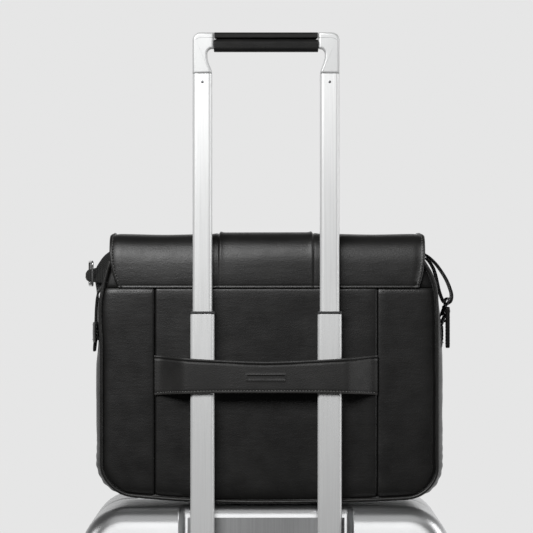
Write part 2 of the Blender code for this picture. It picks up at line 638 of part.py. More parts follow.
def snap_hook():
    """The hook's eye, its barrel and the loop for the webbing, modelled upright and then leaned."""
    barrel = cylinder("snap_hook_right", 0.0021, (0, 0, 0.0165), (0, 0, LOOP_LOW + 0.001), DARK_METAL, 14)
    eye = torus("cut_hook_eye", (0, 0, 0), 0.0038, 0.0012, (0, 0, 0), DARK_METAL, True)
    eye.data.transform(Matrix.Translation((0, 0, RING_HEIGHT + 0.0010)) @ Matrix.Rotation(math.pi / 2, 4, "X"))
    loop_low, loop_high = (-0.0012, -0.0185, LOOP_LOW), (0.0012, 0.0185, LOOP_HIGH)
    loop = block("cut_hook_loop", loop_low, loop_high, DARK_METAL, cutter=True)
    window_low, window_high = (-0.01, -0.0161, LOOP_LOW + LOOP_BAR), (0.01, 0.0161, LOOP_HIGH - LOOP_BAR)
    window = block("cut_hook_window", window_low, window_high, DARK_METAL, cutter=True)
    for piece in (barrel, eye, loop, window):
        piece.data.transform(hook_frame())
    boolean(loop, window, "DIFFERENCE")
    boolean(barrel, eye, "UNION")
    boolean(barrel, loop, "UNION")


def shoulder_strap():
    """One length of webbing: sewn on the left, hung inside the case, and folded round the right hook's loop."""
    inside = [(0.055, TOP + 0.037), (0.100, TOP + 0.075), (0.128, TOP + 0.150), (0.140, TOP + 0.240)]
    inside += [(0.147, TOP + 0.270), (0.158, TOP + 0.2825), (0.1750, TOP + 0.2835)]
    left = [(0.1860, TOP + 0.2760), (0.1950, TOP + 0.2640), (0.1985, TOP + 0.2540), (0.1960, TOP + 0.2440)]
    left += [(0.1926, TOP + 0.2330), (0.1919, TOP + 0.2000), (0.1919, TOP + 0.1715)]
    bar = hook_frame() @ Matrix.Translation((0, 0, LOOP_HIGH - LOOP_BAR / 2))
    bar_x, _, bar_z = bar.translation
    right = [(0.1835, TOP + 0.2785), (0.1960, TOP + 0.2650), (0.2060, TOP + 0.2500), (0.2106, TOP + 0.2400)]
    right += arc(bar_x, bar_z, 0.0033, 5, -195, 7)
    right += [(0.2000, TOP + 0.2400), (0.1955, TOP + 0.2510), (0.1915, TOP + 0.2630)]
    path = [(-x, z) for x, z in reversed(inside + left)] + [(0.0, TOP + 0.030)] + inside + right
    y = BAG_MIDDLE_Y
    ribbon("shoulder_strap", path, 1, y - WEBBING_HALF, y + WEBBING_HALF, WEBBING_THICKNESS, WEBBING)


def strap_trim():
    """The adjuster frame on the left of the strap and the leather end tab that hangs from the right hook."""
    centre, x = (BAG_MIDDLE_Y, TOP + 0.254), -0.2000
    frame = [rounded_rectangle(0.038, 0.015, 0.003, centre), rounded_rectangle(0.032, 0.009, 0.002, centre)]
    slab("strap_adjuster", "YZ", frame, x - 0.0022, x, DARK_METAL)
    low, high = (0.2028, BAG_MIDDLE_Y - 0.0130, TOP + 0.1740), (0.2072, BAG_MIDDLE_Y - 0.0032, TOP + 0.2205)
    block("strap_end_tab", low, high, CALF, bevel=0.0008, segments=1)


def soft_case():
    soft_body()
    flap()
    trolley_strap()
    side_fittings()
    shoulder_strap()
    strap_trim()


# ---------------------------------------------------------------- moving groups


def joint_empty(name, location, pieces, parent=None):
    """An empty on a joint's axis that carries the pieces moving with it."""
    empty = bpy.data.objects.new(f"axis_{name}", None)
    empty.empty_display_size = 0.03
    PARTS.objects.link(empty)
    empty.location = location
    carry(empty, parent)
    for piece in pieces:
        carry(bpy.data.objects[piece], empty)
    return empty


def carry(obj, parent):
    """Parents an object where it already is."""
    if parent is None:
        return
    bpy.context.view_layer.update()
    obj.parent = parent
    obj.matrix_parent_inverse = parent.matrix_world.inverted()


def moving_groups():
    cups = ["caster_cup_front_left", "caster_cup_front_right"]
    front = joint_empty(
        "front_half", (HINGE_X, 0, 0.305), ["case_front_shell", "hinge_front_leaf", "latch_catch", *cups]
    )
    for side, x in (("left", -CASTER_X), ("right", CASTER_X)):
        for row, y, parent in (("back", -CASTER_Y, None), ("front", CASTER_Y, front)):
            name = f"{row}_{side}"
            swivel = joint_empty(f"swivel_{name}", (x, y, 0.049), [f"caster_fork_{name}"], parent)
            axle = (x, y + WHEEL_TRAIL, WHEEL_RADIUS)
            joint_empty(f"wheels_{name}", axle, [f"caster_wheels_{name}"], swivel)
    sides = ("left", "right")
    tubes = [f"{part}_{side}" for part in ("middle_tube", "tube_collar") for side in sides]
    middle = joint_empty("middle_tubes", (0, TUBE_Y, MIDDLE_BOTTOM), tubes)
    tubes = [f"{part}_{side}" for part in ("upper_tube", "handle_elbow") for side in sides]
    handle = joint_empty("pull_handle", (0, TUBE_Y, UPPER_BOTTOM), [*tubes, "grip"], middle)
    joint_empty("release_button", (0, TUBE_Y, HANDLE_TOP), ["release_bar"], handle)
    joint_empty("latch", (LATCH_AXIS_X, LATCH_AXIS_Y, 0.470), ["latch_lever"])
    joint_empty("side_handle", (CASE_WIDTH / 2, -0.055, 0.320), ["side_handle_bar"])
    pieces = ["side_gusset", "back_panel_left", "back_panel_center", "back_panel_right", "back_yoke"]
    pieces += ["front_panel", "piping_back", "piping_front", "bottom_board", "laptop_divider", "flap_back"]
    pieces += ["trolley_strap", "side_tab_left", "side_tab_right", "d_ring_right", "snap_hook_right"]
    pieces += ["shoulder_strap", "strap_adjuster", "strap_end_tab"]
    bag = joint_empty("bag", (0, TUBE_Y, BAG_BOTTOM), pieces)
    joint_empty("flap", (0, *FLAP_AXIS), ["flap_front"], bag)


hard_case()
soft_case()
moving_groups()
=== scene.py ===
"""Looks of the rolling laptop case: a soft leather flap case on the pull handle of a silver hard case.

-Y is the back, where the telescopic tubes run; the object stands on the floor at Z = 0, in metres.
"""

import math

import bmesh
import bpy
from mathutils import Matrix, Vector, noise


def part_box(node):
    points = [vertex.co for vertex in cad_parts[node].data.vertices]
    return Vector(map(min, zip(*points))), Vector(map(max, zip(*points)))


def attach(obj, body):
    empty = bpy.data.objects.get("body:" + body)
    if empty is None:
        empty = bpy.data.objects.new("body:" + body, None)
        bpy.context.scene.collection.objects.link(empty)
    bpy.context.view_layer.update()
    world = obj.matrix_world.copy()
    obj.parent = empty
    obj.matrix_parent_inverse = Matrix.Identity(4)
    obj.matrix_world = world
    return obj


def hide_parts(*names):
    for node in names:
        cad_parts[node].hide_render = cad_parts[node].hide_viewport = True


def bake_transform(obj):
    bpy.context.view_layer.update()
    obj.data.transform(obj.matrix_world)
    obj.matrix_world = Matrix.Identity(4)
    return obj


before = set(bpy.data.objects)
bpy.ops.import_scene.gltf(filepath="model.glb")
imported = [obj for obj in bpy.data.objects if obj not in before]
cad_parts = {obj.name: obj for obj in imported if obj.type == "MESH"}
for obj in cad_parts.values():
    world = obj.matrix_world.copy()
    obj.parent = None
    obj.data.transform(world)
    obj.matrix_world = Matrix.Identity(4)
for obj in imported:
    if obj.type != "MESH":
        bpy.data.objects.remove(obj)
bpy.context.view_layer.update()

# ---------------------------------------------------------------- places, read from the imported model

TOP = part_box("case_back_shell")[1].z
CASE_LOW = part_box("case_back_shell")[0]
CASE_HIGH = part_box("case_back_shell")[1]
CASE_CORNER = 0.050
CASE_EDGE = 0.020
CASE_WALL = 0.0028
CHANNEL_FLOOR_Y = -0.0865
CHANNEL_HALF = 0.0934
BAG_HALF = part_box("side_gusset")[1].x
BAG_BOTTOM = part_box("side_gusset")[0].z
BAG_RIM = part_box("side_gusset")[1].z
BAG_BACK_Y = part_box("back_panel_center")[0].y
BAG_FRONT_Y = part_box("front_panel")[1].y
BAG_CORNER = 0.038
BAG_FLAT = BAG_HALF - BAG_CORNER
BAG_TURN = BAG_CORNER * math.pi / 2
BAG_OUTLINE = BAG_FLAT + BAG_TURN + BAG_RIM - BAG_BOTTOM - BAG_CORNER
BAG_WALL = 0.0022
BAG_SHOULDER = TOP + 0.200
BAG_SHOULDER_RADIUS = 0.210
SEAM_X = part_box("back_panel_center")[1].x
SEAM_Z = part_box("back_yoke")[0].z
PIPING_INSET = 0.0040
PANEL_INSET = 0.0058
FLAP_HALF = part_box("flap_front")[1].x
FLAP_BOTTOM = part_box("flap_front")[0].z
FLAP_SEAM_X = 0.0525
STRAP_MIDDLE_Y = -0.033
HANDLE_RISE = 0.0016
BAR_SKIRT = 0.0016
BAR_SLOT = 0.0028
BAR_TRAVEL = 0.00165
SEAT_GAP = 0.0003
STITCH_PITCH = 0.0034
STITCH_MARGIN = 0.0034
SEAM_GAP = 0.0002
TUBE_X = 0.0702
TUBE_CORNER = 0.0042
TUBE_WALL = 0.0012
PIN_Z = TOP + 0.4694
WHEEL_START, WHEEL_WIDTH = 0.0046, 0.0090
WELD = 0.00002
UP = Vector((0, 0, 1))

# ---------------------------------------------------------------- finishes


def add_node(mat, kind, settings=(), inputs=()):
    """A shader node with its settings and its unlinked inputs."""
    made = mat.node_tree.nodes.new(kind)
    for key, value in dict(settings).items():
        setattr(made, key, value)
    for key, value in dict(inputs).items():
        made.inputs[key].default_value = value
    return made


def wire_up(mat, source, socket, target, target_socket):
    mat.node_tree.links.new(source.outputs[socket], target.inputs[target_socket])


def coordinates(mat, stretch=(1, 1, 1), source="Object"):
    """Object or UV coordinates, stretched to turn a round pattern into a long one."""
    place = add_node(mat, "ShaderNodeTexCoord")
    mapping = add_node(mat, "ShaderNodeMapping", inputs={"Scale": stretch})
    wire_up(mat, place, source, mapping, "Vector")
    return mapping


def base_finish(name, roughness, metallic=0.0, coat=0.0, coat_roughness=0.15, sheen=0.0, specular=0.5):
    mat = bpy.data.materials.new(name)
    mat.use_nodes = True
    shader = mat.node_tree.nodes["Principled BSDF"]
    shader.inputs["Roughness"].default_value = roughness
    shader.inputs["Metallic"].default_value = metallic
    shader.inputs["Coat Weight"].default_value = coat
    shader.inputs["Coat Roughness"].default_value = coat_roughness
    shader.inputs["Sheen Weight"].default_value = sheen
    shader.inputs["Sheen Roughness"].default_value = 0.4
    shader.inputs["Specular IOR Level"].default_value = specular
    return mat, shader


def noise_field(mat, scale, detail=4.0, stretch=(1, 1, 1), roughness=0.55, source="Object"):
    inputs = {"Scale": scale, "Detail": detail, "Roughness": roughness}
    field = add_node(mat, "ShaderNodeTexNoise", inputs=inputs)
    wire_up(mat, coordinates(mat, stretch, source), "Vector", field, "Vector")
    return field


def spread_roughness(mat, shader, field, low, high):
    spread = add_node(mat, "ShaderNodeMapRange", inputs={"From Min": 0.3, "From Max": 0.7})
    spread.inputs["To Min"].default_value = low
    spread.inputs["To Max"].default_value = high
    wire_up(mat, field, "Fac", spread, "Value")
    wire_up(mat, spread, "Result", shader, "Roughness")


def tint(mat, shader, field, dark, light, worn=None, wear=(0.54, 0.62)):
    """Colour between dark and light with the field, and worn where the surface is a ridge or an edge."""
    ramp = add_node(mat, "ShaderNodeValToRGB")
    ramp.color_ramp.elements[0].position = 0.32
    ramp.color_ramp.elements[0].color = (*dark, 1)
    ramp.color_ramp.elements[1].position = 0.68
    ramp.color_ramp.elements[1].color = (*light, 1)
    wire_up(mat, field, "Fac", ramp, "Fac")
    if worn is None:
        wire_up(mat, ramp, "Color", shader, "Base Color")
        return ramp
    ridge = add_node(mat, "ShaderNodeNewGeometry")
    edge = add_node(mat, "ShaderNodeMapRange", inputs={"From Min": wear[0], "From Max": wear[1]})
    wire_up(mat, ridge, "Pointiness", edge, "Value")
    blend = add_node(mat, "ShaderNodeMix", {"data_type": "RGBA"})
    sockets = {socket.identifier: socket for socket in [*blend.inputs, *blend.outputs]}
    sockets["B_Color"].default_value = (*worn, 1)
    links = mat.node_tree.links
    links.new(ramp.outputs["Color"], sockets["A_Color"])
    links.new(edge.outputs["Result"], sockets["Factor_Float"])
    links.new(sockets["Result_Color"], shader.inputs["Base Color"])
    return ramp


def raise_surface(mat, shader, layers):
    """Bump from (node, socket, height) layers, the first one nearest the surface."""
    before = None
    for source, socket, height in layers:
        bump = add_node(mat, "ShaderNodeBump", inputs={"Strength": 1.0, "Distance": height})
        wire_up(mat, source, socket, bump, "Height")
        if before is not None:
            wire_up(mat, before, "Normal", bump, "Normal")
        before = bump
    wire_up(mat, before, "Normal", shader, "Normal")


def pebble(mat, scale, stretch=(1, 1, 1)):
    """The rounded cells of leather grain."""
    inputs = {"Scale": scale, "Smoothness": 0.6}
    cells = add_node(mat, "ShaderNodeTexVoronoi", {"feature": "SMOOTH_F1"}, inputs)
    wire_up(mat, coordinates(mat, stretch), "Vector", cells, "Vector")
    return cells


def leather(name, colours, roughness, grain, crease, specular):
    """Grained hide: slow changes of colour and gloss under rounded cells, creases and fibres."""
    mat, shader = base_finish(name, sum(roughness) / 2, specular=specular)
    tint(mat, shader, noise_field(mat, 26.0, 5.0), *colours)
    spread_roughness(mat, shader, noise_field(mat, 60.0, 4.0), *roughness)
    cells = pebble(mat, 820.0)
    creases = noise_field(mat, 95.0, 6.0, (0.6, 1.0, 2.6), 0.62)
    fibres = noise_field(mat, 2400.0, 2.0)
    raise_surface(
        mat, shader, [(creases, "Fac", crease), (cells, "Distance", grain), (fibres, "Fac", grain * 0.5)]
    )
    return mat


def weave_bands(mat, direction, scale, distortion=0.0, source="Object", **inputs):
    """Wave bands for threads or ribs."""
    inputs = {"Scale": scale, "Distortion": distortion, **inputs}
    bands = add_node(mat, "ShaderNodeTexWave", {"bands_direction": direction}, inputs)
    wire_up(mat, coordinates(mat, source=source), "Vector", bands, "Vector")
    return bands


def make_lining():
    mat, shader = base_finish("padded_lining", 0.9, sheen=0.35, specular=0.25)
    tint(mat, shader, noise_field(mat, 40.0), (0.040, 0.041, 0.046), (0.062, 0.063, 0.070))
    weave = weave_bands(mat, "Z", 420.0, 1.5, Detail=2.0)
    cross = weave_bands(mat, "DIAGONAL", 320.0, 1.5)
    spread_roughness(mat, shader, noise_field(mat, 90.0), 0.8, 0.95)
    raise_surface(mat, shader, [(weave, "Fac", 0.00012), (cross, "Fac", 0.00012)])
    return mat


def make_webbing():
    """Twill webbing: ribs across the strap, broken by the warp, on its own UV map in metres."""
    mat, shader = base_finish("webbing", 0.8, sheen=0.25, specular=0.3)
    ribs = weave_bands(mat, "Y", 165.0, 0.6, "UV")
    warp = weave_bands(mat, "DIAGONAL", 120.0, 0.4, "UV")
    tint(mat, shader, ribs, (0.006, 0.006, 0.006), (0.022, 0.022, 0.021))
    spread_roughness(mat, shader, noise_field(mat, 200.0), 0.70, 0.90)
    raise_surface(mat, shader, [(ribs, "Fac", 0.00050), (warp, "Fac", 0.00035)])
    return mat


def make_thread():
    mat, shader = base_finish("sewing_thread", 0.6, sheen=0.2, specular=0.4)
    tint(mat, shader, noise_field(mat, 500.0), (0.110, 0.108, 0.104), (0.190, 0.187, 0.180))
    raise_surface(mat, shader, [(weave_bands(mat, "DIAGONAL", 900.0), "Fac", 0.0001)])
    return mat


def make_silver():
    mat, shader = base_finish("silver_shell", 0.34, metallic=0.92, coat=0.06, coat_roughness=0.20)
    flakes = noise_field(mat, 2600.0, 2.0)
    tint(mat, shader, flakes, (0.66, 0.665, 0.67), (0.72, 0.725, 0.73), (0.80, 0.805, 0.81), (0.56, 0.66))
    spread_roughness(mat, shader, noise_field(mat, 22.0, 5.0), 0.32, 0.38)
    peel = noise_field(mat, 240.0, 2.0)
    raise_surface(mat, shader, [(peel, "Fac", 0.000008), (flakes, "Fac", 0.000002)])
    return mat


def rigid(name, colours, shade, gloss, roughness, grain, height, wear=(0.54, 0.62), **base):
    """A rigid finish: colour, roughness and relief from a noise each, given by scale, detail and stretch.

    Without a grain of its own, the relief follows the colour.
    """
    mat, shader = base_finish(name, sum(roughness) / 2, **base)
    field = noise_field(mat, *shade)
    tint(mat, shader, field, *colours, wear=wear)
    spread_roughness(mat, shader, noise_field(mat, *gloss), *roughness)
    relief = noise_field(mat, *grain) if grain else field
    raise_surface(mat, shader, [(relief, "Fac", height)])
    return mat


def metal(name, colours, roughness):
    return rigid(
        name, colours, (180.0, 5.0), (240.0, 5.0), roughness, (1600.0, 3.0), 0.00003, (0.55, 0.68),
        metallic=0.95,
    )


def make_floor():
    mat, shader = base_finish("pale_floor", 0.7, specular=0.3)
    tint(mat, shader, noise_field(mat, 3.0), (0.54, 0.54, 0.54), (0.57, 0.57, 0.57))
    shader.inputs["Emission Color"].default_value = (1, 1, 1, 1)
    shader.inputs["Emission Strength"].default_value = 0.38
    return mat


CALF = leather(
    "calf_leather", ((0.0070, 0.0068, 0.0066), (0.0110, 0.0107, 0.0103), (0.030, 0.029, 0.027)),
    (0.37, 0.45), 0.00007, 0.00014, 0.46,
)
STRAP_LEATHER = leather(
    "strap_leather", ((0.013, 0.0127, 0.0124), (0.020, 0.0195, 0.0188), (0.044, 0.042, 0.040)),
    (0.48, 0.58), 0.00012, 0.00014, 0.42,
)
GRIP_LEATHER = leather(
    "grip_leather", ((0.0055, 0.0055, 0.0053), (0.0100, 0.0098, 0.0095), (0.022, 0.021, 0.020)),
    (0.56, 0.68), 0.00022, 0.00010, 0.20,
)
LINING = make_lining()
WEBBING = make_webbing()
THREAD = make_thread()
SILVER = make_silver()
# Brushed grey plate that lines the channel for the tubes; its dark grey is partly painted shade of the
# recessed channel behind the tubes.
PLATE_AND_SHADE = rigid(
    "channel_plate", ((0.26, 0.262, 0.265), (0.34, 0.343, 0.347), (0.46, 0.463, 0.467)),
    (700.0, 3.0, (1.0, 1.0, 0.02)), (30.0, 4.0), (0.36, 0.48), None, 0.00002, metallic=0.2,
)
# Anodised aluminium: a pale satin face with fine draw lines along the tube.
TUBE = rigid(
    "satin_tube", ((0.74, 0.745, 0.745), (0.81, 0.815, 0.815), (0.88, 0.885, 0.885)),
    (900.0, 3.0, (1.0, 1.0, 0.012)), (30.0, 4.0, (1, 1, 0.2)), (0.34, 0.46), None, 0.00003,
    (0.55, 0.65), metallic=0.30,
)
# Cast corner pieces: the tubes' silver, a shade darker and without draw lines.
CORNER = rigid(
    "cast_corner", ((0.57, 0.575, 0.575), (0.64, 0.645, 0.645)),
    (1500.0, 3.0), (40.0, 4.0), (0.38, 0.48), None, 0.00002, metallic=0.25,
)
RESIN = rigid(
    "black_resin", ((0.020, 0.020, 0.021), (0.030, 0.030, 0.031), (0.055, 0.055, 0.057)),
    (30.0,), (80.0,), (0.44, 0.58), (1300.0, 3.0), 0.00008, specular=0.45,
)
TREAD = rigid(
    "wheel_tread", ((0.034, 0.034, 0.036), (0.058, 0.057, 0.056), (0.085, 0.083, 0.080)),
    (45.0, 6.0), (120.0, 5.0), (0.65, 0.85), (700.0, 4.0), 0.00012, specular=0.35,
)
GUNMETAL = metal(
    "gunmetal", ((0.055, 0.055, 0.060), (0.095, 0.095, 0.100), (0.20, 0.20, 0.21)), (0.24, 0.38)
)
NICKEL = metal(
    "bright_nickel", ((0.42, 0.42, 0.42), (0.58, 0.58, 0.57), (0.75, 0.75, 0.74)), (0.18, 0.30)
)

# ---------------------------------------------------------------- maker's tools


def mix(a, b, share):
    return a + (b - a) * share


def ease(low, high, value):
    """0 below low, 1 above high, and smooth between."""
    share = min(1.0, max(0.0, (value - low) / (high - low)))
    return share * share * (3 - 2 * share)


def dent(distance, width):
    return math.exp(-((distance / width) ** 2))


def stations(low, high, step, fine=(), near=(0.0006, 0.0012, 0.0018, 0.0027, 0.0040)):
    """Places from low to high about a step apart, with closer ones beside each fine place."""
    count = max(1, round((high - low) / step))
    places = [mix(low, high, i / count) for i in range(count + 1)]
    for centre in fine:
        places += [centre] + [centre + d for d in near] + [centre - d for d in near]
    places = sorted(p for p in places if low <= p <= high)
    kept = [places[0]]
    for place in places[1:]:
        if place - kept[-1] > 0.00035:
            kept.append(place)
    kept[-1] = high
    return kept


def smooth_path(points, steps=8):
    """A smooth line through the points, each of any number of values."""
    rows = [Vector(p) for p in points]
    rows = [rows[0] * 2 - rows[1], *rows, rows[-1] * 2 - rows[-2]]
    path = []
    for a, b, c, d in zip(rows, rows[1:], rows[2:], rows[3:]):
        for i in range(steps):
            t = i / steps
            curve, twist = a * 2 - b * 5 + c * 4 - d, b * 3 - a - c * 3 + d
            path.append((b * 2 + (c - a) * t + curve * t**2 + twist * t**3) * 0.5)
    return [*path, rows[-2]]


def along(path):
    """How far along the path each point lies."""
    reach = [0.0]
    for a, b in zip(path, path[1:]):
        reach.append(reach[-1] + (b - a).length)
    return reach


def at_distance(path, reach, distance):
    """The point and direction at a distance along the path."""
    distance = min(max(distance, 0.0), reach[-1])
    i = next((k for k in range(len(reach) - 2) if reach[k + 1] >= distance), len(reach) - 2)
    share = (distance - reach[i]) / max(1e-9, reach[i + 1] - reach[i])
    return path[i].lerp(path[i + 1], share), (path[i + 1] - path[i]).normalized()


def sheet_mesh(across, up, place, inside=None):
    """A grid with a line at each place across and up, laid by place(), with a UV map in metres."""
    bm = bmesh.new()
    columns, rows = len(across) - 1, len(up) - 1
    bmesh.ops.create_grid(bm, x_segments=columns, y_segments=rows, size=0.5)
    layer = bm.loops.layers.uv.new("UVMap")
    spots = {}
    for vert in bm.verts:
        column, row = round((vert.co.x + 0.5) * columns), round((vert.co.y + 0.5) * rows)
        spots[vert] = across[column], up[row]
    for face in bm.faces:
        for loop in face.loops:
            loop[layer].uv = spots[loop.vert]
    for vert, spot in spots.items():
        vert.co = place(*spot)
    if inside is not None:
        face_outwards(bm, inside)
    return bm


def face_outwards(bm, inside):
    """Turns an open sheet's faces away from a point, or a line where a coordinate is None."""
    bm.normal_update()
    total = 0.0
    for face in bm.faces:
        away = face.calc_center_median()
        away = Vector([0.0 if i is None else a - i for a, i in zip(away, inside)])
        total += face.normal.dot(away) * face.calc_area()
    if total < 0:
        bmesh.ops.reverse_faces(bm, faces=bm.faces)


def close_up(bm):
    bmesh.ops.remove_doubles(bm, verts=bm.verts, dist=WELD)
    bmesh.ops.recalc_face_normals(bm, faces=bm.faces)
    return bm


def round_frames(path, closed):
    """Two directions square to the path at each point, carried along it without twist."""
    count = len(path)
    frames, side = [], None
    for i in range(count):
        ahead = path[(i + 1) % count] if closed or i < count - 1 else path[i]
        behind = path[i - 1] if closed or i > 0 else path[i]
        direction = (ahead - behind).normalized()
        if side is None:
            side = direction.orthogonal().normalized()
        side = (side - direction * side.dot(direction)).normalized()
        frames.append((side, direction.cross(side)))
    return frames


def wire_mesh(path, radius, sides=12, closed=False, flatten=1.0):
    """A round wire or cord along the path, its ends closed."""
    path = [Vector(p) for p in path]
    frames = round_frames(path, closed)
    rows = list(range(len(path) + (1 if closed else 0)))

    def place(turn, row):
        i = row % len(path)
        side, other = frames[i]
        angle = 2 * math.pi * turn
        return path[i] + side * radius * math.cos(angle) + other * radius * flatten * math.sin(angle)

    bm = sheet_mesh([i / sides for i in range(sides + 1)], rows, place)
    bmesh.ops.remove_doubles(bm, verts=bm.verts, dist=WELD)
    if not closed:
        bmesh.ops.holes_fill(bm, edges=[e for e in bm.edges if e.is_boundary], sides=sides)
    bmesh.ops.recalc_face_normals(bm, faces=bm.faces)
    return bm


def merge(bm, other):
    """Adds another bmesh to this one."""
    mesh = bpy.data.meshes.new("part")
    other.to_mesh(mesh)
    other.free()
    bm.from_mesh(mesh)
    bpy.data.meshes.remove(mesh)
    return bm


def block_mesh(low, high, bevel=0.0, segments=3, axis=None, radius=0.0, radius_segments=6):
    """A box, its edges along one axis rounded by a radius and then every edge by a bevel."""
    bm = bmesh.new()
    bmesh.ops.create_cube(bm, size=1.0)
    low, high = Vector(low), Vector(high)
    bmesh.ops.scale(bm, vec=high - low, verts=bm.verts)
    bmesh.ops.translate(bm, vec=(low + high) / 2, verts=bm.verts)
    if axis is not None:
        edges = [e for e in bm.edges if abs((e.verts[0].co - e.verts[1].co).normalized()[axis]) > 0.9]
        bevel_edges(bm, edges, radius, radius_segments)
    if bevel:
        round_edges(bm, bevel, segments)
    return bm


def bevel_edges(bm, edges, width, segments):
    bmesh.ops.bevel(
        bm, geom=edges, offset=width, segments=segments, profile=0.5, affect="EDGES", material=-1
    )


def round_edges(bm, width, segments=2, angle=40):
    """Rounds each edge that turns by more than the angle."""
    bm.normal_update()
    turn = math.radians(angle)
    sharp = [e for e in bm.edges if len(e.link_faces) == 2 and e.calc_face_angle(0.0) > turn]
    bevel_edges(bm, sharp, width, segments)


def turned_mesh(profile, centre, axis, steps=48):
    """A profile of (radius, place along the axis) spun round the axis through the centre."""
    bm = bmesh.new()
    across = Vector((0, 0, 1)) if axis.z < 0.5 else Vector((1, 0, 0))
    verts = [bm.verts.new(centre + across * radius + axis * place) for radius, place in profile]
    edges = [bm.edges.new(pair) for pair in zip(verts, verts[1:])]
    bmesh.ops.spin(
        bm, geom=verts + edges, cent=centre, axis=axis, angle=2 * math.pi, steps=steps, use_merge=True
    )
    return close_up(bm)


def prism_mesh(outline, axis, low, high, bevel=0.0, segments=3):
    """A flat outline in the plane square to an axis, extruded from low to high."""
    others = [i for i in range(3) if i != axis]
    bm = bmesh.new()
    verts = []
    for a, b in outline:
        corner = [0.0, 0.0, 0.0]
        corner[others[0]], corner[others[1]], corner[axis] = a, b, low
        verts.append(bm.verts.new(corner))
    face = bm.faces.new(verts)
    raised = bmesh.ops.extrude_face_region(bm, geom=[face])["geom"]
    shift = Vector((0, 0, 0))
    shift[axis] = high - low
    bmesh.ops.translate(bm, vec=shift, verts=[g for g in raised if isinstance(g, bmesh.types.BMVert)])
    bmesh.ops.recalc_face_normals(bm, faces=bm.faces)
    if bevel:
        rim = [e for e in bm.edges if abs(e.verts[0].co[axis] - e.verts[1].co[axis]) < 1e-7]
        bevel_edges(bm, rim, bevel, segments)
    return bm


def arc(centre_a, centre_b, radius, start, end, steps):
    angles = [math.radians(mix(start, end, i / steps)) for i in range(steps + 1)]
    return [(centre_a + radius * math.cos(a), centre_b + radius * math.sin(a)) for a in angles]


def make_piece(name, bm, finish, body=None, nodes=(), angle=38, lining=None):
    """The finished mesh as an object with its finish, riding its body and standing for its CAD nodes."""
    mesh = bpy.data.meshes.new(name)
    bm.to_mesh(mesh)
    bm.free()
    mesh.shade_smooth()
    mesh.set_sharp_from_angle(angle=math.radians(angle))
    mesh.materials.append(finish)
    if lining is not None:
        mesh.materials.append(lining)
    obj = bpy.data.objects.new(name, mesh)
    bpy.context.scene.collection.objects.link(obj)
    if body is not None:
        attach(obj, body)
    if nodes:
        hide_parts(*nodes)
    return obj


def thicken(obj, thickness, rim=0.0005, lined=False, offset=-1.0):
    """Gives a sheet its thickness inwards and rounds its rim."""
    wall = obj.modifiers.new("wall", "SOLIDIFY")
    wall.thickness = thickness
    wall.offset = offset
    if lined:
        wall.material_offset = 1
    if rim:
        edge = obj.modifiers.new("rim", "BEVEL")
        edge.width = rim
        edge.segments = 2
        edge.limit_method = "ANGLE"
        edge.angle_limit = math.radians(50)
    return obj


def crisp(obj):
    """Keeps the flat faces flat beside their rounded edges."""
    obj.modifiers.new("flat_faces", "WEIGHTED_NORMAL").keep_sharp = True
    return obj


def settle(obj):
    """Applies the modifiers, so that the mesh is final."""
    bpy.context.view_layer.update()
    graph = bpy.context.evaluated_depsgraph_get()
    mesh = bpy.data.meshes.new_from_object(obj.evaluated_get(graph), depsgraph=graph)
    obj.modifiers.clear()
    obj.data = mesh
    return obj


def refine(name, node, finish, body, bevel=0.0006, segments=2):
    """A copy of a rigid CAD node with its flat triangles joined and its edges rounded."""
    bm = bmesh.new()
    bm.from_mesh(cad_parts[node].data)
    bmesh.ops.remove_doubles(bm, verts=bm.verts, dist=0.00001)
    bmesh.ops.dissolve_limit(bm, angle_limit=math.radians(1), verts=bm.verts, edges=bm.edges)
    round_edges(bm, bevel, segments, 45)
    return crisp(make_piece(name, bm, finish, body, [node], 32))


def stitch_line(bm, path, outward, pitch=STITCH_PITCH, length=0.0024, radius=0.00042, lean=0.0):
    """A row of stitches along the path, each a small grain of thread that lies on the surface."""
    path = [Vector(p) for p in path]
    reach = along(path)
    count = int(reach[-1] / pitch)
    for i in range(count):
        centre, direction = at_distance(path, reach, (i + 0.5) * reach[-1] / count)
        up = Vector(outward(centre) if callable(outward) else outward)
        up = (up - direction * up.dot(direction)).normalized()
        side = direction.cross(up)
        direction = (direction + side * lean).normalized()
        side = direction.cross(up)
        basis = Matrix((direction * length / 2, side * radius, up * radius)).transposed().to_4x4()
        made = bmesh.ops.create_icosphere(bm, subdivisions=1, radius=1.0)["verts"]
        bmesh.ops.transform(bm, matrix=Matrix.Translation(centre) @ basis, verts=made)


def stitching(name, rows, body, **sizes):
    """Rows of stitches as one piece; each row is (path, outward)."""
    bm = bmesh.new()
    for path, outward in rows:
        stitch_line(bm, path, outward, **sizes)
    bmesh.ops.recalc_face_normals(bm, faces=bm.faces)
    return make_piece(name, bm, THREAD, body, angle=80)


# ---------------------------------------------------------------- hard case

CHANNEL_RIM = 0.0110
SEAL_HALF = 0.0010
PLATE_HALF = 0.0870
FLUTES = -0.1450, -0.1100, -0.0367, 0.0367, 0.1100, 0.1450
SHELL_BEND_STEPS = 8


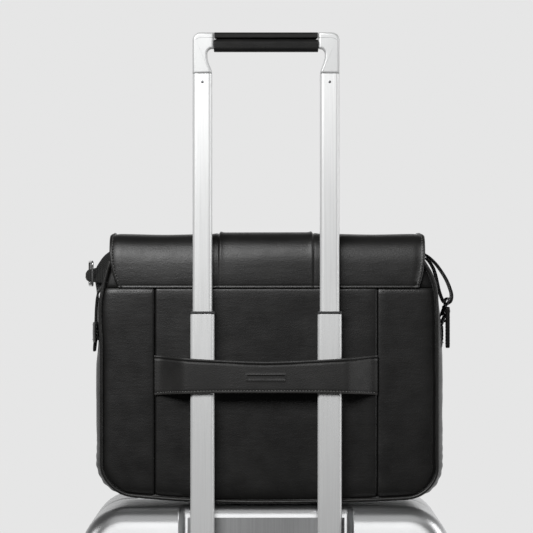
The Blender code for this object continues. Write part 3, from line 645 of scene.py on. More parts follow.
def shell_stations(fine):
    """Places round a shell's outline: a point on the line of corner centres, and the way out from it."""
    half_x, low_z, high_z = CASE_HIGH.x - CASE_CORNER, CASE_LOW.z + CASE_CORNER, TOP - CASE_CORNER
    straight_x = stations(-half_x, half_x, 0.012, fine, (0.0008, 0.0016, 0.0024, 0.0034, 0.0046, 0.0065))
    straight_z = stations(low_z, high_z, 0.016)
    turn = [math.radians(90 * i / 10) for i in range(1, 10)]
    places = [(x, high_z, 0.0, 1.0) for x in straight_x]
    places += [(half_x, high_z, math.sin(a), math.cos(a)) for a in turn]
    places += [(half_x, z, 1.0, 0.0) for z in reversed(straight_z)]
    places += [(half_x, low_z, math.cos(a), -math.sin(a)) for a in turn]
    places += [(x, low_z, 0.0, -1.0) for x in reversed(straight_x)]
    places += [(-half_x, low_z, -math.sin(a), -math.cos(a)) for a in turn]
    places += [(-half_x, z, -1.0, 0.0) for z in straight_z]
    places += [(-half_x, high_z, -math.cos(a), math.sin(a)) for a in turn]
    return places + places[:1], straight_x, straight_z


def shell_section(depth, edge, sunk=0.0):
    """(inset, depth) from the seam, along the side wall, round the rim and in over the face."""
    rows = [(sunk, mix(SEAL_HALF, depth - edge, i / 5)) for i in range(6)]
    for i in range(1, SHELL_BEND_STEPS + 1):
        angle = math.radians(90 * i / SHELL_BEND_STEPS)
        inset = sunk + (edge - sunk) * (1 - math.cos(angle))
        rows.append((inset, depth - edge + (edge - sunk) * math.sin(angle)))
    return rows + [(inset, depth - sunk) for inset in (0.0235, 0.027, 0.031, 0.036, 0.043, CASE_CORNER)]


def shell_piece(name, side, fine, shaped, body, node):
    """Half of the rounded box: a band of rings round the outline, then the flat middle of the face."""
    places, straight_x, straight_z = shell_stations(fine)
    plain = shell_section(-CASE_LOW.y, CASE_EDGE)
    rows = list(range(len(plain)))

    def ring_point(station, row):
        base_x, base_z, out_x, out_z = places[round(station)]
        inset, depth = shaped(base_x, base_z + out_z * (CASE_CORNER - plain[round(row)][0]), round(row))
        reach = CASE_CORNER - inset
        return Vector((base_x + out_x * reach, side * depth, base_z + out_z * reach))

    bm = sheet_mesh(list(range(len(places))), rows, ring_point, (0, 0, 0.3))

    def face_point(x, z):
        return Vector((x, side * shaped(x, z, rows[-1])[1], z))

    merge(bm, sheet_mesh(straight_x, straight_z, face_point, (0, 0, None)))
    bmesh.ops.remove_doubles(bm, verts=bm.verts, dist=0.00005)
    shell = make_piece(name, bm, SILVER, body, [node], 50, LINING)
    return thicken(shell, CASE_WALL, 0.0006, lined=True)


def back_channel(x, z):
    """1 in the channel for the tubes and 0 outside it."""
    return (1 - ease(CHANNEL_HALF - 0.0032, CHANNEL_HALF + 0.0034, abs(x))) * ease(0.083, 0.094, z)


def case_shells():
    depth = -CASE_LOW.y
    pad = shell_section(depth, CASE_EDGE)
    channel = shell_section(-CHANNEL_FLOOR_Y, CHANNEL_RIM)
    flute = shell_section(depth, CASE_EDGE, 0.0018)

    def back_shape(x, z, row):
        share = back_channel(x, z)
        return [mix(a, b, share) for a, b in zip(pad[row], channel[row])]

    def front_shape(x, z, row):
        share = min(1.0, sum(dent(x - place, 0.0022) for place in FLUTES))
        return [mix(a, b, share) for a, b in zip(pad[row], flute[row])]

    shell_piece("back_shell", -1, [-CHANNEL_HALF, CHANNEL_HALF], back_shape, "trolley", "case_back_shell")
    shell_piece("front_shell", 1, FLUTES, front_shape, "front_half", "case_front_shell")
    # The brushed plate on the channel floor: its darker grey also paints the shade that falls in the
    # recess.
    plate_low = -PLATE_HALF, CHANNEL_FLOOR_Y - 0.0006, CASE_LOW.z + 0.042
    plate_high = PLATE_HALF, CHANNEL_FLOOR_Y + 0.0010, TOP - CHANNEL_RIM - 0.0015
    plate = block_mesh(plate_low, plate_high, 0.0003, 2)
    crisp(make_piece("channel_plate", plate, PLATE_AND_SHADE, "trolley"))
    places = shell_stations([])[0]

    def seal_point(turn, row):
        base_x, base_z, out_x, out_z = places[round(row)]
        reach = CASE_CORNER - 0.0020 + 0.0013 * math.cos(2 * math.pi * turn)
        y = 0.00066 * math.sin(2 * math.pi * turn)
        return Vector((base_x + out_x * reach, y, base_z + out_z * reach))

    seal = close_up(sheet_mesh([i / 8 for i in range(9)], list(range(len(places))), seal_point))
    make_piece("seam_seal", seal, RESIN, "trolley", ["case_seam_seal"])


def tube_piece(name, node, body, longer=0.0):
    """One stage of a tube: round-cornered, hollow, its ends broken by a small edge."""
    low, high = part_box(node)
    high = high + Vector((0, 0, longer))
    bm = block_mesh(low, high)
    ends = [f for f in bm.faces if abs(f.normal.z) > 0.9]
    bmesh.ops.delete(bm, geom=ends, context="FACES_ONLY")
    upright = [e for e in bm.edges if abs(e.verts[0].co.z - e.verts[1].co.z) > 0.01]
    bevel_edges(bm, upright, TUBE_CORNER, 8)
    crisp(thicken(make_piece(name, bm, TUBE, body, [node]), TUBE_WALL, 0.0003))


def rivet_mesh(centre, radius, height, axis):
    dome = (1.0, 0.0), (1.0, 0.35), (0.82, 0.75), (0.45, 1.0), (0.0, 1.05)
    profile = [(radius * out, height * up) for out, up in dome]
    return turned_mesh(profile, Vector(centre), Vector(axis), 20)


def elbow_outline(side):
    """The corner piece between tube and grip: its leg narrows upwards and turns over into the grip."""
    low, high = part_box("handle_elbow_right")
    outer, corner = high.x, 0.0085
    grip_x, grip_z = low.x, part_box("grip")[0].z
    points = [(0.0598, low.z), (outer, low.z)]
    points += arc(outer - corner, high.z - corner, corner, 0, 90, 10)
    points += [(grip_x, high.z), (grip_x, grip_z + 0.0034)]
    points += arc(grip_x + 0.0012, grip_z - 0.0026, 0.0060, 78, 8, 7)
    points += [(0.0648, grip_z - 0.0068), (0.0632, grip_z - 0.0130)]
    points += [(0.0612, low.z + 0.0060), (0.0600, low.z + 0.0025)]
    return [(side * x, z) for x, z in points]


def bracket_mesh(node):
    """A bar across the channel with a seat for each sleeve, built up round the seats."""
    low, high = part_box(node)
    left_low, left_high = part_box("fixed_sleeve_left")
    right_low, right_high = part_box("fixed_sleeve_right")
    bm = bmesh.new()
    strips = [(low.y, left_low.y - SEAT_GAP), (left_high.y + SEAT_GAP, high.y)]
    for near, far in strips:
        if far - near > 0.0004:
            merge(bm, block_mesh((low.x, near, low.z), (high.x, far, high.z), 0.0002, 1))
    ends = (low.x, left_low.x - SEAT_GAP), (left_high.x + SEAT_GAP, right_low.x - SEAT_GAP)
    for start, stop in (*ends, (right_high.x + SEAT_GAP, high.x)):
        merge(bm, block_mesh((start, low.y, low.z), (stop, high.y, high.z), 0.0008, 3))
    return bm


def pull_handle():
    up = Vector((0, 0, HANDLE_RISE))
    for name, side in (("left", -1), ("right", 1)):
        tube_piece(f"sleeve_{name}", f"fixed_sleeve_{name}", "trolley")
        tube_piece(f"lower_stage_{name}", f"middle_tube_{name}", "middle_tubes")
        tube_piece(f"upper_stage_{name}", f"upper_tube_{name}", "pull_handle", HANDLE_RISE)
        refine(f"stage_collar_{name}", f"tube_collar_{name}", RESIN, "middle_tubes", 0.0004)
        elbow_low, elbow_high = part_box(f"handle_elbow_{name}")
        elbow = prism_mesh(elbow_outline(side), 1, elbow_low.y, elbow_high.y, 0.0026, 5)
        bmesh.ops.translate(elbow, verts=elbow.verts, vec=up)
        crisp(make_piece(f"elbow_{name}", elbow, CORNER, "pull_handle", [f"handle_elbow_{name}"], 50))
        centre = (side * TUBE_X, elbow_low.y + 0.0001, PIN_Z)
        make_piece(f"pin_{name}", rivet_mesh(centre, 0.0015, 0.0003, (0, -1, 0)), GUNMETAL, "pull_handle")
        line_y, line_z = elbow_low.y + 0.0001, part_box("release_bar")[0].z + HANDLE_RISE
        grip_end, outer = (elbow_low.x, elbow_high.x) if side > 0 else (elbow_high.x, elbow_low.x)
        falls = (0.0, 0.0), (0.30, 0.0), (0.60, 0.0), (0.76, 0.0008), (0.87, 0.0024)
        joint = [(mix(grip_end, outer, share), line_y, line_z - fall) for share, fall in falls]
        line = wire_mesh(smooth_path(joint, 4), 0.00016, 6)
        make_piece(f"cap_line_{name}", line, RESIN, "pull_handle")
    for bracket in ("upper", "lower"):
        node = f"handle_bracket_{bracket}"
        crisp(make_piece(f"sleeve_bracket_{bracket}", bracket_mesh(node), RESIN, "trolley", [node], 32))
    spare = (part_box("release_bar")[0].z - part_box("grip")[1].z - BAR_TRAVEL) / 2
    low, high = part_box("grip")
    grip_high = high + up + Vector((0, 0, spare))
    grip = block_mesh(low + up, grip_high, axis=0, radius=0.0046, radius_segments=8)
    round_edges(grip, 0.0007, 3, 60)
    crisp(make_piece("grip_cover", grip, GRIP_LEATHER, "pull_handle", ["grip"]))
    low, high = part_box("release_bar")
    bar_low = low + up - Vector((0, 0, spare))
    bar = block_mesh(bar_low, high + up)
    upper = [e for e in bar.edges if all(v.co.z > high.z for v in e.verts)]
    upper = [e for e in upper if abs(e.verts[0].co.x - e.verts[1].co.x) > 0.01]
    bevel_edges(bar, upper, 0.0034, 6)
    round_edges(bar, 0.0005, 2, 50)
    under = [f for f in bar.faces if f.normal.z < -0.99]
    bmesh.ops.inset_region(bar, faces=under, thickness=BAR_SKIRT)
    bmesh.ops.translate(bar, verts=list({v for f in under for v in f.verts}), vec=(0, 0, BAR_SLOT))
    crisp(make_piece("release_bar_cover", bar, GRIP_LEATHER, "release_button", ["release_bar"]))
    margin = Vector((BAR_SKIRT + 0.0004, (high.y - low.y) * 0.36, 0))
    guide_low = Vector((low.x, low.y, grip_high.z - 0.0010)) + margin
    guide_high = Vector((high.x, high.y, bar_low.z + 0.0004)) - margin
    guide = block_mesh(guide_low, guide_high, 0.0002, 1)
    make_piece("release_bar_guide", guide, GRIP_LEATHER, "pull_handle")


def wheel_mesh(centre, side, radius):
    """One wheel turned about X: tread with a groove, side wall, and a dished hub."""
    near, far = side * WHEEL_START, side * (WHEEL_START + WHEEL_WIDTH)
    span = far - near
    tread = [(0.0030, 0.0), (0.0012, 0.06), (0.0, 0.20), (0.0, 0.44), (0.0006, 0.48), (0.0006, 0.52)]
    tread += [(0.0, 0.56), (0.0, 0.80), (0.0012, 0.94)]
    profile = [(0.0036, near)]
    profile += [(radius - shy, near + span * share) for shy, share in tread]
    profile += [(radius - 0.0030, far), (radius - 0.0052, far), (radius - 0.0060, far - span * 0.16)]
    dish = (0.0082, 0.20), (0.0066, 0.04), (0.0030, 0.02), (0.0, 0.02)
    profile += [(out, far - span * share) for out, share in dish]
    return turned_mesh(profile, centre, Vector((1, 0, 0)), 40)


def hub_caps(centre):
    """The cap and five bolt heads on each wheel's outer face."""
    hubs = bmesh.new()
    cap = [(0.0, 0.0004), (0.0022, 0.0004), (0.0048, 0.0002), (0.0056, -0.0008), (0.0, -0.0008)]
    bolt = [(0.0, 0.0003), (0.0011, 0.0003), (0.0015, -0.0006), (0.0, -0.0006)]
    for wheel in (-1, 1):
        way = Vector((wheel, 0, 0))
        start = centre.x + wheel * 0.0128
        merge(hubs, turned_mesh(cap, Vector((start, centre.y, centre.z)), way, 24))
        for spoke in range(5):
            angle = 2 * math.pi * spoke / 5
            bolt_y, bolt_z = centre.y + 0.0115 * math.cos(angle), centre.z + 0.0115 * math.sin(angle)
            merge(hubs, turned_mesh(bolt, Vector((start - wheel * 0.0008, bolt_y, bolt_z)), way, 10))
    return hubs


def caster(row, side):
    name = f"{row}_{side}"
    body = "trolley" if row == "back" else "front_half"
    low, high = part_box(f"caster_cup_{name}")
    centre = Vector(((low.x + high.x) / 2, (low.y + high.y) / 2, low.z))
    radius, height = (high.x - low.x) / 2, high.z - low.z
    cup = [(0.0, 0.0), (radius - 0.0020, 0.0), (radius - 0.0006, 0.0006), (radius, 0.0020)]
    cup += [(radius, height), (0.0, height)]
    cup = turned_mesh(cup, centre, UP, 48)
    make_piece(f"cup_{name}", cup, RESIN, body, [f"caster_cup_{name}"], 45)
    refine(f"fork_{name}", f"caster_fork_{name}", GUNMETAL, f"swivel_{name}", 0.0008, 2)
    low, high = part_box(f"caster_wheels_{name}")
    centre = (low + high) / 2
    shaft = [(0.0, -0.0050), (0.0034, -0.0050), (0.0034, 0.0050), (0.0, 0.0050)]
    wheels = turned_mesh(shaft, centre, Vector((1, 0, 0)), 24)
    for wheel in (-1, 1):
        merge(wheels, wheel_mesh(centre, wheel, (high.z - low.z) / 2))
    make_piece(f"wheels_{name}_tread", wheels, TREAD, f"wheels_{name}", [f"caster_wheels_{name}"], 40)
    make_piece(f"hubs_{name}", hub_caps(centre), NICKEL, f"wheels_{name}")


def case_fittings():
    refine("hinge_leaf_back", "hinge_back_leaf", GUNMETAL, "trolley", 0.0004)
    refine("hinge_leaf_front", "hinge_front_leaf", GUNMETAL, "front_half", 0.0004)
    low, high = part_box("latch_lever")
    lever = block_mesh(low, high, axis=1, radius=0.0028, radius_segments=4)
    round_edges(lever, 0.0008, 2, 60)
    crisp(make_piece("lever", lever, GUNMETAL, "latch", ["latch_lever"]))
    ribs = bmesh.new()
    for i in range(7):
        z = mix(low.z + 0.012, high.z - 0.012, i / 6)
        rib_low = high.x - 0.0002, high.y - 0.010, z - 0.0006
        rib_high = high.x + 0.0004, high.y - 0.0015, z + 0.0006
        merge(ribs, block_mesh(rib_low, rib_high, 0.0003, 2))
    make_piece("lever_ribs", ribs, GUNMETAL, "latch")
    refine("catch", "latch_catch", GUNMETAL, "front_half", 0.0003)
    for end in ("lower", "upper"):
        low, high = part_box(f"side_handle_mount_{end}")
        mount = block_mesh(low, high, axis=0, radius=0.0070, radius_segments=6)
        round_edges(mount, 0.0014, 3, 60)
        crisp(make_piece(f"handle_mount_{end}", mount, RESIN, "trolley", [f"side_handle_mount_{end}"]))
    side_handle()


def side_handle():
    """The flexible carry bar: flat at its ends, rounded and ribbed where the hand holds it."""
    low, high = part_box("side_handle_bar")
    y, inner, thick = (low.y + high.y) / 2, low.x + 0.0017, 0.0034
    mid_z = (low.z + high.z) / 2
    reach = (high.z - low.z) / 2
    path = [(0.0, -1.0), (0.0, -0.88), (0.0, -0.76), (0.0030, -0.66), (0.0040, -0.54), (0.0040, 0.0)]
    path += [(x, -z) for x, z in reversed(path[:-1])]
    path = smooth_path([(inner + x, y, mid_z + z * reach) for x, z in path], 6)
    reach_at = along(path)

    def place(turn, row):
        point, direction = at_distance(path, reach_at, row)
        outward = Vector((1, 0, 0))
        outward = (outward - direction * outward.dot(direction)).normalized()
        angle = 2 * math.pi * turn
        share = row / reach_at[-1]
        grip = ease(0.16, 0.28, share) * (1 - ease(0.72, 0.84, share))
        rib = 1 - 0.05 * grip * (0.5 + 0.5 * math.cos(share * 2 * math.pi * 26))
        across, deep = 0.0090 * rib, thick / 2
        c, s = math.cos(angle), math.sin(angle)
        flat = [math.copysign(abs(v) ** 0.45, v) for v in (c, s)]
        return point + Vector((0, 1, 0)) * across * flat[0] + outward * deep * flat[1]

    rows = [reach_at[-1] * i / 150 for i in range(151)]
    bm = sheet_mesh([i / 24 for i in range(25)], rows, place)
    bmesh.ops.remove_doubles(bm, verts=bm.verts, dist=WELD)
    bmesh.ops.holes_fill(bm, edges=[e for e in bm.edges if e.is_boundary], sides=30)
    bmesh.ops.recalc_face_normals(bm, faces=bm.faces)
    make_piece("carry_bar", bm, RESIN, "side_handle", ["side_handle_bar"], 50)


# ---------------------------------------------------------------- soft case: its outline and its sag


def half_width(z):
    """Half the soft case's width at a height."""
    rise = max(0.0, z - BAG_SHOULDER)
    return BAG_HALF - BAG_SHOULDER_RADIUS + math.sqrt(BAG_SHOULDER_RADIUS**2 - rise**2)


def lift(x, z):
    """How far the soft bottom rises from the hard case towards its corners."""
    most = 0.0064 if x < 0 else 0.0038
    return most * min(1.6, (x / 0.1425) ** 2) * (1 - ease(BAG_BOTTOM, BAG_BOTTOM + 0.11, z))


def sway(side, z):
    """How far the full soft case leans to the right of the handle, on each side."""
    if side < 0:
        return mix(0.0034, 0.0006, ease(TOP + 0.175, TOP + 0.232, z))
    bulge = 0.0022 * dent(z - (TOP + 0.243), 0.018)
    return mix(0.0042, 0.0010, ease(TOP + 0.256, TOP + 0.276, z)) + bulge


def outline_point(share, inset):
    """A point on the soft case's outline, from -1 at the left rim by 0 below to 1 at the right rim."""
    side = -1 if share < 0 else 1
    reach = abs(share) * BAG_OUTLINE
    if reach < BAG_FLAT:
        x, z = reach, BAG_BOTTOM + inset
    elif reach < BAG_FLAT + BAG_TURN:
        angle = (reach - BAG_FLAT) / BAG_CORNER
        radius = BAG_CORNER - inset
        x, z = BAG_FLAT + radius * math.sin(angle), BAG_BOTTOM + BAG_CORNER - radius * math.cos(angle)
    else:
        z = BAG_BOTTOM + BAG_CORNER + reach - BAG_FLAT - BAG_TURN
        x = half_width(z) - inset
    return side * x + sway(side, z) * ease(0.09, 0.16, x), z + lift(side * x, z)


def outline_share(z):
    """The share along the outline at which the side reaches a height."""
    return (BAG_FLAT + BAG_TURN + z - BAG_BOTTOM - BAG_CORNER) / BAG_OUTLINE


def ripple(x, z, seed, fine=1.0):
    """Slow waves of soft leather, in metres."""
    slow = noise.noise(Vector((x * 9, z * 8, seed)))
    quick = noise.noise(Vector((x * 26, z * 44, seed + 7)))
    return 0.0008 * slow + 0.00025 * fine * quick


def pull_lines(x, z):
    """Fine creases that run out from the ends of the trolley strap."""
    across = dent(abs(x) - 0.104, 0.020)
    height = dent(z - (TOP + 0.182), 0.022) + 0.6 * dent(z - (TOP + 0.104), 0.018)
    bend = z * 2 * math.pi / 0.0058 + 14 * x + 2.2 * noise.noise(Vector((x * 40, z * 30, 3)))
    return 0.00016 * across * height * math.sin(bend)


def panel_y(x, z, seed, edge):
    """How far back a back panel's leather lies: pinched at the seams and rolled in at its outer edge."""
    relief = ripple(x, z, seed) + pull_lines(x, z)
    relief -= 0.0019 * dent(abs(x) - SEAM_X, 0.0009) + 0.0005 * dent(abs(x) - SEAM_X, 0.0045)
    relief -= 0.0014 * dent(z - SEAM_Z, 0.0011) + 0.0004 * dent(z - SEAM_Z, 0.006)
    relief -= 0.0040 * math.exp(-max(0.0, edge) / 0.0045)
    relief += 0.0010 * dent(abs(x) - 0.085, 0.030) * dent(z - (TOP + 0.17), 0.05)
    return BAG_BACK_Y + 0.0004 - min(relief, 0.0014)


def leather_panel(name, bm, node, thickness=BAG_WALL, rim=0.0004):
    """A lined panel of the soft case."""
    panel = make_piece(name, bm, CALF, "bag", [node], lining=LINING)
    return thicken(panel, thickness, rim, lined=True)


def lifted(side, share):
    """A place on the outline, and its height before the bottom lifts."""
    x, z = outline_point(side * share, PANEL_INSET)
    return abs(x), z - lift(x, z)


def back_panels():
    bottom, top = BAG_BOTTOM + PANEL_INSET, SEAM_Z - 0.0003
    rows = stations(bottom, top, 0.0028, [top], (0.0008, 0.0016))
    near = 0.0008, 0.0016, 0.0026, 0.004
    columns = stations(-SEAM_X + SEAM_GAP, SEAM_X - SEAM_GAP, 0.0036, [-SEAM_X, SEAM_X], near)

    def centre_point(x, z):
        return Vector((x, panel_y(x, z, 1.0, z - bottom), z + lift(x, z)))

    bm = sheet_mesh(columns, rows, centre_point, (None, 0, None))
    leather_panel("back_centre_leather", bm, "back_panel_center")
    shares = stations(BAG_FLAT / BAG_OUTLINE, outline_share(top), 0.007)
    reach = [0.0, 0.008, 0.018, 0.032, 0.055, 0.09, 0.14, 0.20, 0.27, 0.34, 0.42, 0.50, 0.58, 0.66, 0.74]
    reach += [0.81, 0.87, 0.91, 0.94, 0.965, 0.985, 1.0]
    for name, side in (("left", -1), ("right", 1)):

        def side_point(across, share):
            outer, z = lifted(side, share)
            x = side * mix(SEAM_X + SEAM_GAP, outer, across)
            height = z + lift(x, z)
            edge = outer - abs(x)
            if z < bottom + 0.03:
                edge = min(edge, z - bottom)
            return Vector((x, panel_y(x, height, 1.0 + side, edge), height))

        bm = sheet_mesh(reach, shares, side_point, (None, 0, None))
        leather_panel(f"back_{name}_leather", bm, f"back_panel_{name}")


def yoke():
    """The strip above the seam that shows between the flap's edge and the piping."""
    rows = stations(SEAM_Z + SEAM_GAP, BAG_RIM - 0.002, 0.003)
    columns = stations(-1.0, 1.0, 0.02)

    def place(across, z):
        side = -1 if across < 0 else 1
        half = half_width(z) - PANEL_INSET + side * sway(side, z)
        x = across * half
        edge = half - abs(x)
        back = BAG_BACK_Y + 0.0036 + 0.0030 * math.exp(-edge / 0.004) - 0.8 * ripple(x, z, 5.0)
        return Vector((x, back + 0.0006 * dent(z - SEAM_Z, 0.002), z))

    bm = sheet_mesh(columns, rows, place, (None, 0, None))
    leather_panel("upper_back_leather", bm, "back_yoke", 0.0020)


def gusset():
    """Side and bottom band: it swells between the two pipings and creases where it turns the corners."""
    back, front = BAG_BACK_Y + 0.0040, BAG_FRONT_Y - 0.0032
    shares = stations(-1.0, 1.0, 0.0045)

    def place(share, across):
        swell = 1 - abs(2 * across - 1) ** 3.2
        x, z = outline_point(share, 0.0)
        extra = 0.0050 * (1 - ease(TOP + 0.150, TOP + 0.262, z)) * ease(0.33, 0.42, abs(share))
        extra *= 1 - (0.45 if share < 0 else 0.05) * dent(z - (TOP + 0.188), 0.022)
        corner = dent(abs(share) - 0.42, 0.10)
        fold = 0.0005 * corner * math.sin(share * 260 + 3 * across) * swell
        slack = 0.0011 * noise.noise(Vector((share * 12, across * 2.2, 9.0))) * swell
        slack *= ease(0.1, 0.3, abs(share))
        inset = 0.0052 * (1 - swell) - extra * swell + abs(slack) + fold
        if abs(share) < 0.33:
            inset = max(inset, 0.0)
        x, z = outline_point(share, inset)
        return Vector((x, mix(back, front, across), z))

    across = [0.0, 0.02, 0.045, 0.08, 0.12, 0.17, 0.23, 0.30, 0.38, 0.46, 0.54, 0.62, 0.70, 0.77, 0.83]
    across += [0.88, 0.92, 0.955, 0.98, 1.0]
    bm = sheet_mesh(shares, across, place, (0, None, TOP + 0.15))
    leather_panel("side_and_bottom_leather", bm, "side_gusset", rim=0.0006)


def pipings():
    cords = ("back", BAG_BACK_Y + 0.0020, BAG_RIM - 0.0006), ("front", BAG_FRONT_Y - 0.0012, BAG_RIM)
    for name, y, top in cords:
        end = outline_share(top) * 0.9995
        path = []
        for share in stations(-end, end, 0.008):
            x, z = outline_point(share, PIPING_INSET)
            path.append(Vector((x, y + 0.0004 * noise.noise(Vector((share * 14, 2, 2))), z)))
        cord = wire_mesh(path, 0.0020, 10)
        make_piece(f"piping_cord_{name}", cord, CALF, "bag", [f"piping_{name}"], 80)


def front_panel():
    """The front under the flap: one panel, stitched along its rim."""
    top = BAG_RIM - 0.0005
    shares = stations(BAG_FLAT / BAG_OUTLINE, outline_share(top), 0.009)
    columns = stations(-1.0, 1.0, 0.022, [-0.985, 0.985], (0.005, 0.01, 0.02))

    def place(across, share):
        outer, z = lifted(-1 if across < 0 else 1, share)
        x = outer * across
        height = z + lift(x, z)
        edge = min(outer - abs(x), z - BAG_BOTTOM - PANEL_INSET)
        y = BAG_FRONT_Y - 0.0008 - 0.0036 * math.exp(-max(0.0, edge) / 0.0045)
        return Vector((x, y + min(0.0008, ripple(x, height, 12.0)), height))

    bm = sheet_mesh(columns, shares, place, (None, -1, None))
    leather_panel("front_leather", bm, "front_panel")
    rim = [Vector((x, BAG_FRONT_Y - 0.0002, top - 0.004)) for x in stations(-0.168, 0.168, 0.01)]
    stitching("front_rim_stitches", [(rim, (0, 1, 0))], "bag")


def base_board():
    """The stiff board inside the bottom, which follows its lift."""
    low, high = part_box("bottom_board")

    def place(x, y):
        return Vector((x, y, low.z + 0.0006 + lift(x, BAG_BOTTOM)))

    across, deep = stations(low.x, high.x, 0.009), stations(low.y, high.y, 0.012)
    board = sheet_mesh(across, deep, place, (None, None, TOP - 0.1))
    thicken(make_piece("base_board", board, RESIN, "bag", ["bottom_board"]), high.z - low.z, 0.0005)


def padded_divider():
    """A quilted pad: round-cornered, plump in the middle, drawn in along upright channels."""
    low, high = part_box("laptop_divider")
    bm = bmesh.new()
    bmesh.ops.create_cube(bm, size=2.0)
    faces = [e for e in bm.edges if abs(e.verts[0].co.y - e.verts[1].co.y) < 0.1]
    bmesh.ops.subdivide_edges(bm, edges=faces, cuts=40, use_grid_fill=True)
    centre, half = (low + high) / 2, (high - low) / 2
    corner, channel_pitch = 0.018, 0.055
    for vert in bm.verts:
        u, v, w = vert.co.x, vert.co.z, vert.co.y
        x, z = u * half.x, v * half.z
        over_x, over_z = abs(x) - (half.x - corner), abs(z) - (half.z - corner)
        if over_x > 0 and over_z > 0:
            pull = max(over_x, over_z) / max(1e-9, math.hypot(over_x, over_z))
            x = math.copysign(half.x - corner + over_x * pull, x)
            z = math.copysign(half.z - corner + over_z * pull, z)
        edge = max(abs(u), abs(v))
        plump = (1 - edge**10) * 0.85 + 0.15
        channel = min(abs(math.remainder(x, channel_pitch)), 1.0)
        plump *= 1 - 0.42 * dent(channel, 0.0035) * (1 - dent(1 - edge, 0.08))
        vert.co = (centre.x + x, centre.y + w * half.y * plump, centre.z + z)
    close_up(bm)
    divider = make_piece("padded_divider", bm, LINING, "bag", ["laptop_divider"], 80)
    smoothing = divider.modifiers.new("smoothing", "SUBSURF")
    smoothing.levels = smoothing.render_levels = 1


# ---------------------------------------------------------------- flap


def flap_path():
    """The flap's middle line in Y and Z, from its seam at the back over the top and down the front."""
    seam = [(BAG_BACK_Y + 0.0010, SEAM_Z + 0.0004)]
    behind = (0.0008, 0.2510), (0.0012, 0.2620), (0.0024, 0.2770), (0.0060, 0.2890)
    back = [(BAG_BACK_Y + y, TOP + z) for y, z in behind]
    over = (-0.0760, 0.2958), (-0.0680, 0.2992), (-0.0560, 0.3005), (-0.0300, 0.3015), (0.0000, 0.3000)
    down = (0.0180, 0.2945), (0.0275, 0.2840), (0.0305, 0.2680), (0.0306, 0.2400), (0.0306, 0.1800)
    front = [(y, TOP + z) for y, z in (*over, *down, (0.0304, 0.1300))] + [(0.0303, FLAP_BOTTOM)]
    return smooth_path([(0.0, y, z) for y, z in seam + back + front], 8)


FLAP_LINE = flap_path()
FLAP_REACH = along(FLAP_LINE)
FLAP_LENGTH = FLAP_REACH[-1]
FLAP_INNER = 0.115
FLAP_CORNER = 0.030
FLAP_WALL = 0.0028


def flap_reach(x_nominal, distance):
    """The flap's half width on that side, at a distance from its back seam."""
    point, _ = at_distance(FLAP_LINE, FLAP_REACH, distance)
    side = -1 if x_nominal < 0 else 1
    full, taper = (0.1740, 0.0098) if side < 0 else (0.1768, 0.0070)
    rise = min(1.0, distance / 0.042)
    half = full - taper * (1 - rise) ** 2.2
    half = mix(half, FLAP_HALF, ease(-0.06, 0.0, point.y))
    below = max(0.0, FLAP_CORNER - (FLAP_LENGTH - distance))
    return half - FLAP_CORNER + math.sqrt(max(0.0, FLAP_CORNER**2 - below**2))


def flap_spot(x_nominal, distance, out=0.0):
    """A point of the flap's outer face, its relief included, and the way out from it."""
    point, direction = at_distance(FLAP_LINE, FLAP_REACH, distance)
    out_way = Vector((0, -direction.z, direction.y))
    half = flap_reach(x_nominal, distance)
    x = x_nominal
    if abs(x) > FLAP_INNER:
        share = (abs(x) - FLAP_INNER) / (FLAP_HALF - FLAP_INNER)
        x = math.copysign(mix(FLAP_INNER, half, share), x)
    edge = half - abs(x)
    over_top = dent(distance - 0.085, 0.045)
    relief = 0.0016 * (1 - ease(FLAP_SEAM_X - 0.0006, FLAP_SEAM_X + 0.0012, abs(x)))
    relief *= 0.35 + 0.65 * over_top
    drawn = mix(0.25, 1.0, ease(0.040, 0.062, distance))
    relief -= 0.0012 * drawn * dent(abs(x) - FLAP_SEAM_X, 0.0009)
    relief += 0.0006 * drawn * dent(abs(x) - FLAP_SEAM_X - 0.0032, 0.0016)
    relief += 0.0010 * over_top * dent(abs(x) - FLAP_SEAM_X + 0.0016, 0.0022)
    relief -= 0.0011 * over_top * math.sin(math.pi * ease(FLAP_SEAM_X, 0.172, abs(x)))
    relief -= 0.0007 * dent(edge - 0.0046, 0.0011) + 0.0008 * dent(edge, 0.0008)
    relief += 0.0004 * dent(edge - 0.0022, 0.0014)
    relief += 0.0004 * dent(distance - 0.0006, 0.0006) - 0.0003 * dent(distance - 0.0020, 0.0006)
    relief += 0.9 * ripple(x * 0.8, distance, 20.0, 0.6)
    relief += 0.0016 * dent(distance - 0.046, 0.016) * noise.noise(Vector((x * 7, 1.5, 4.0)))
    front_edge = FLAP_LENGTH - distance
    relief -= 0.0007 * dent(front_edge - 0.0046, 0.0011)
    return Vector((x, point.y, point.z)) + out_way * (0.0015 + relief + out), out_way


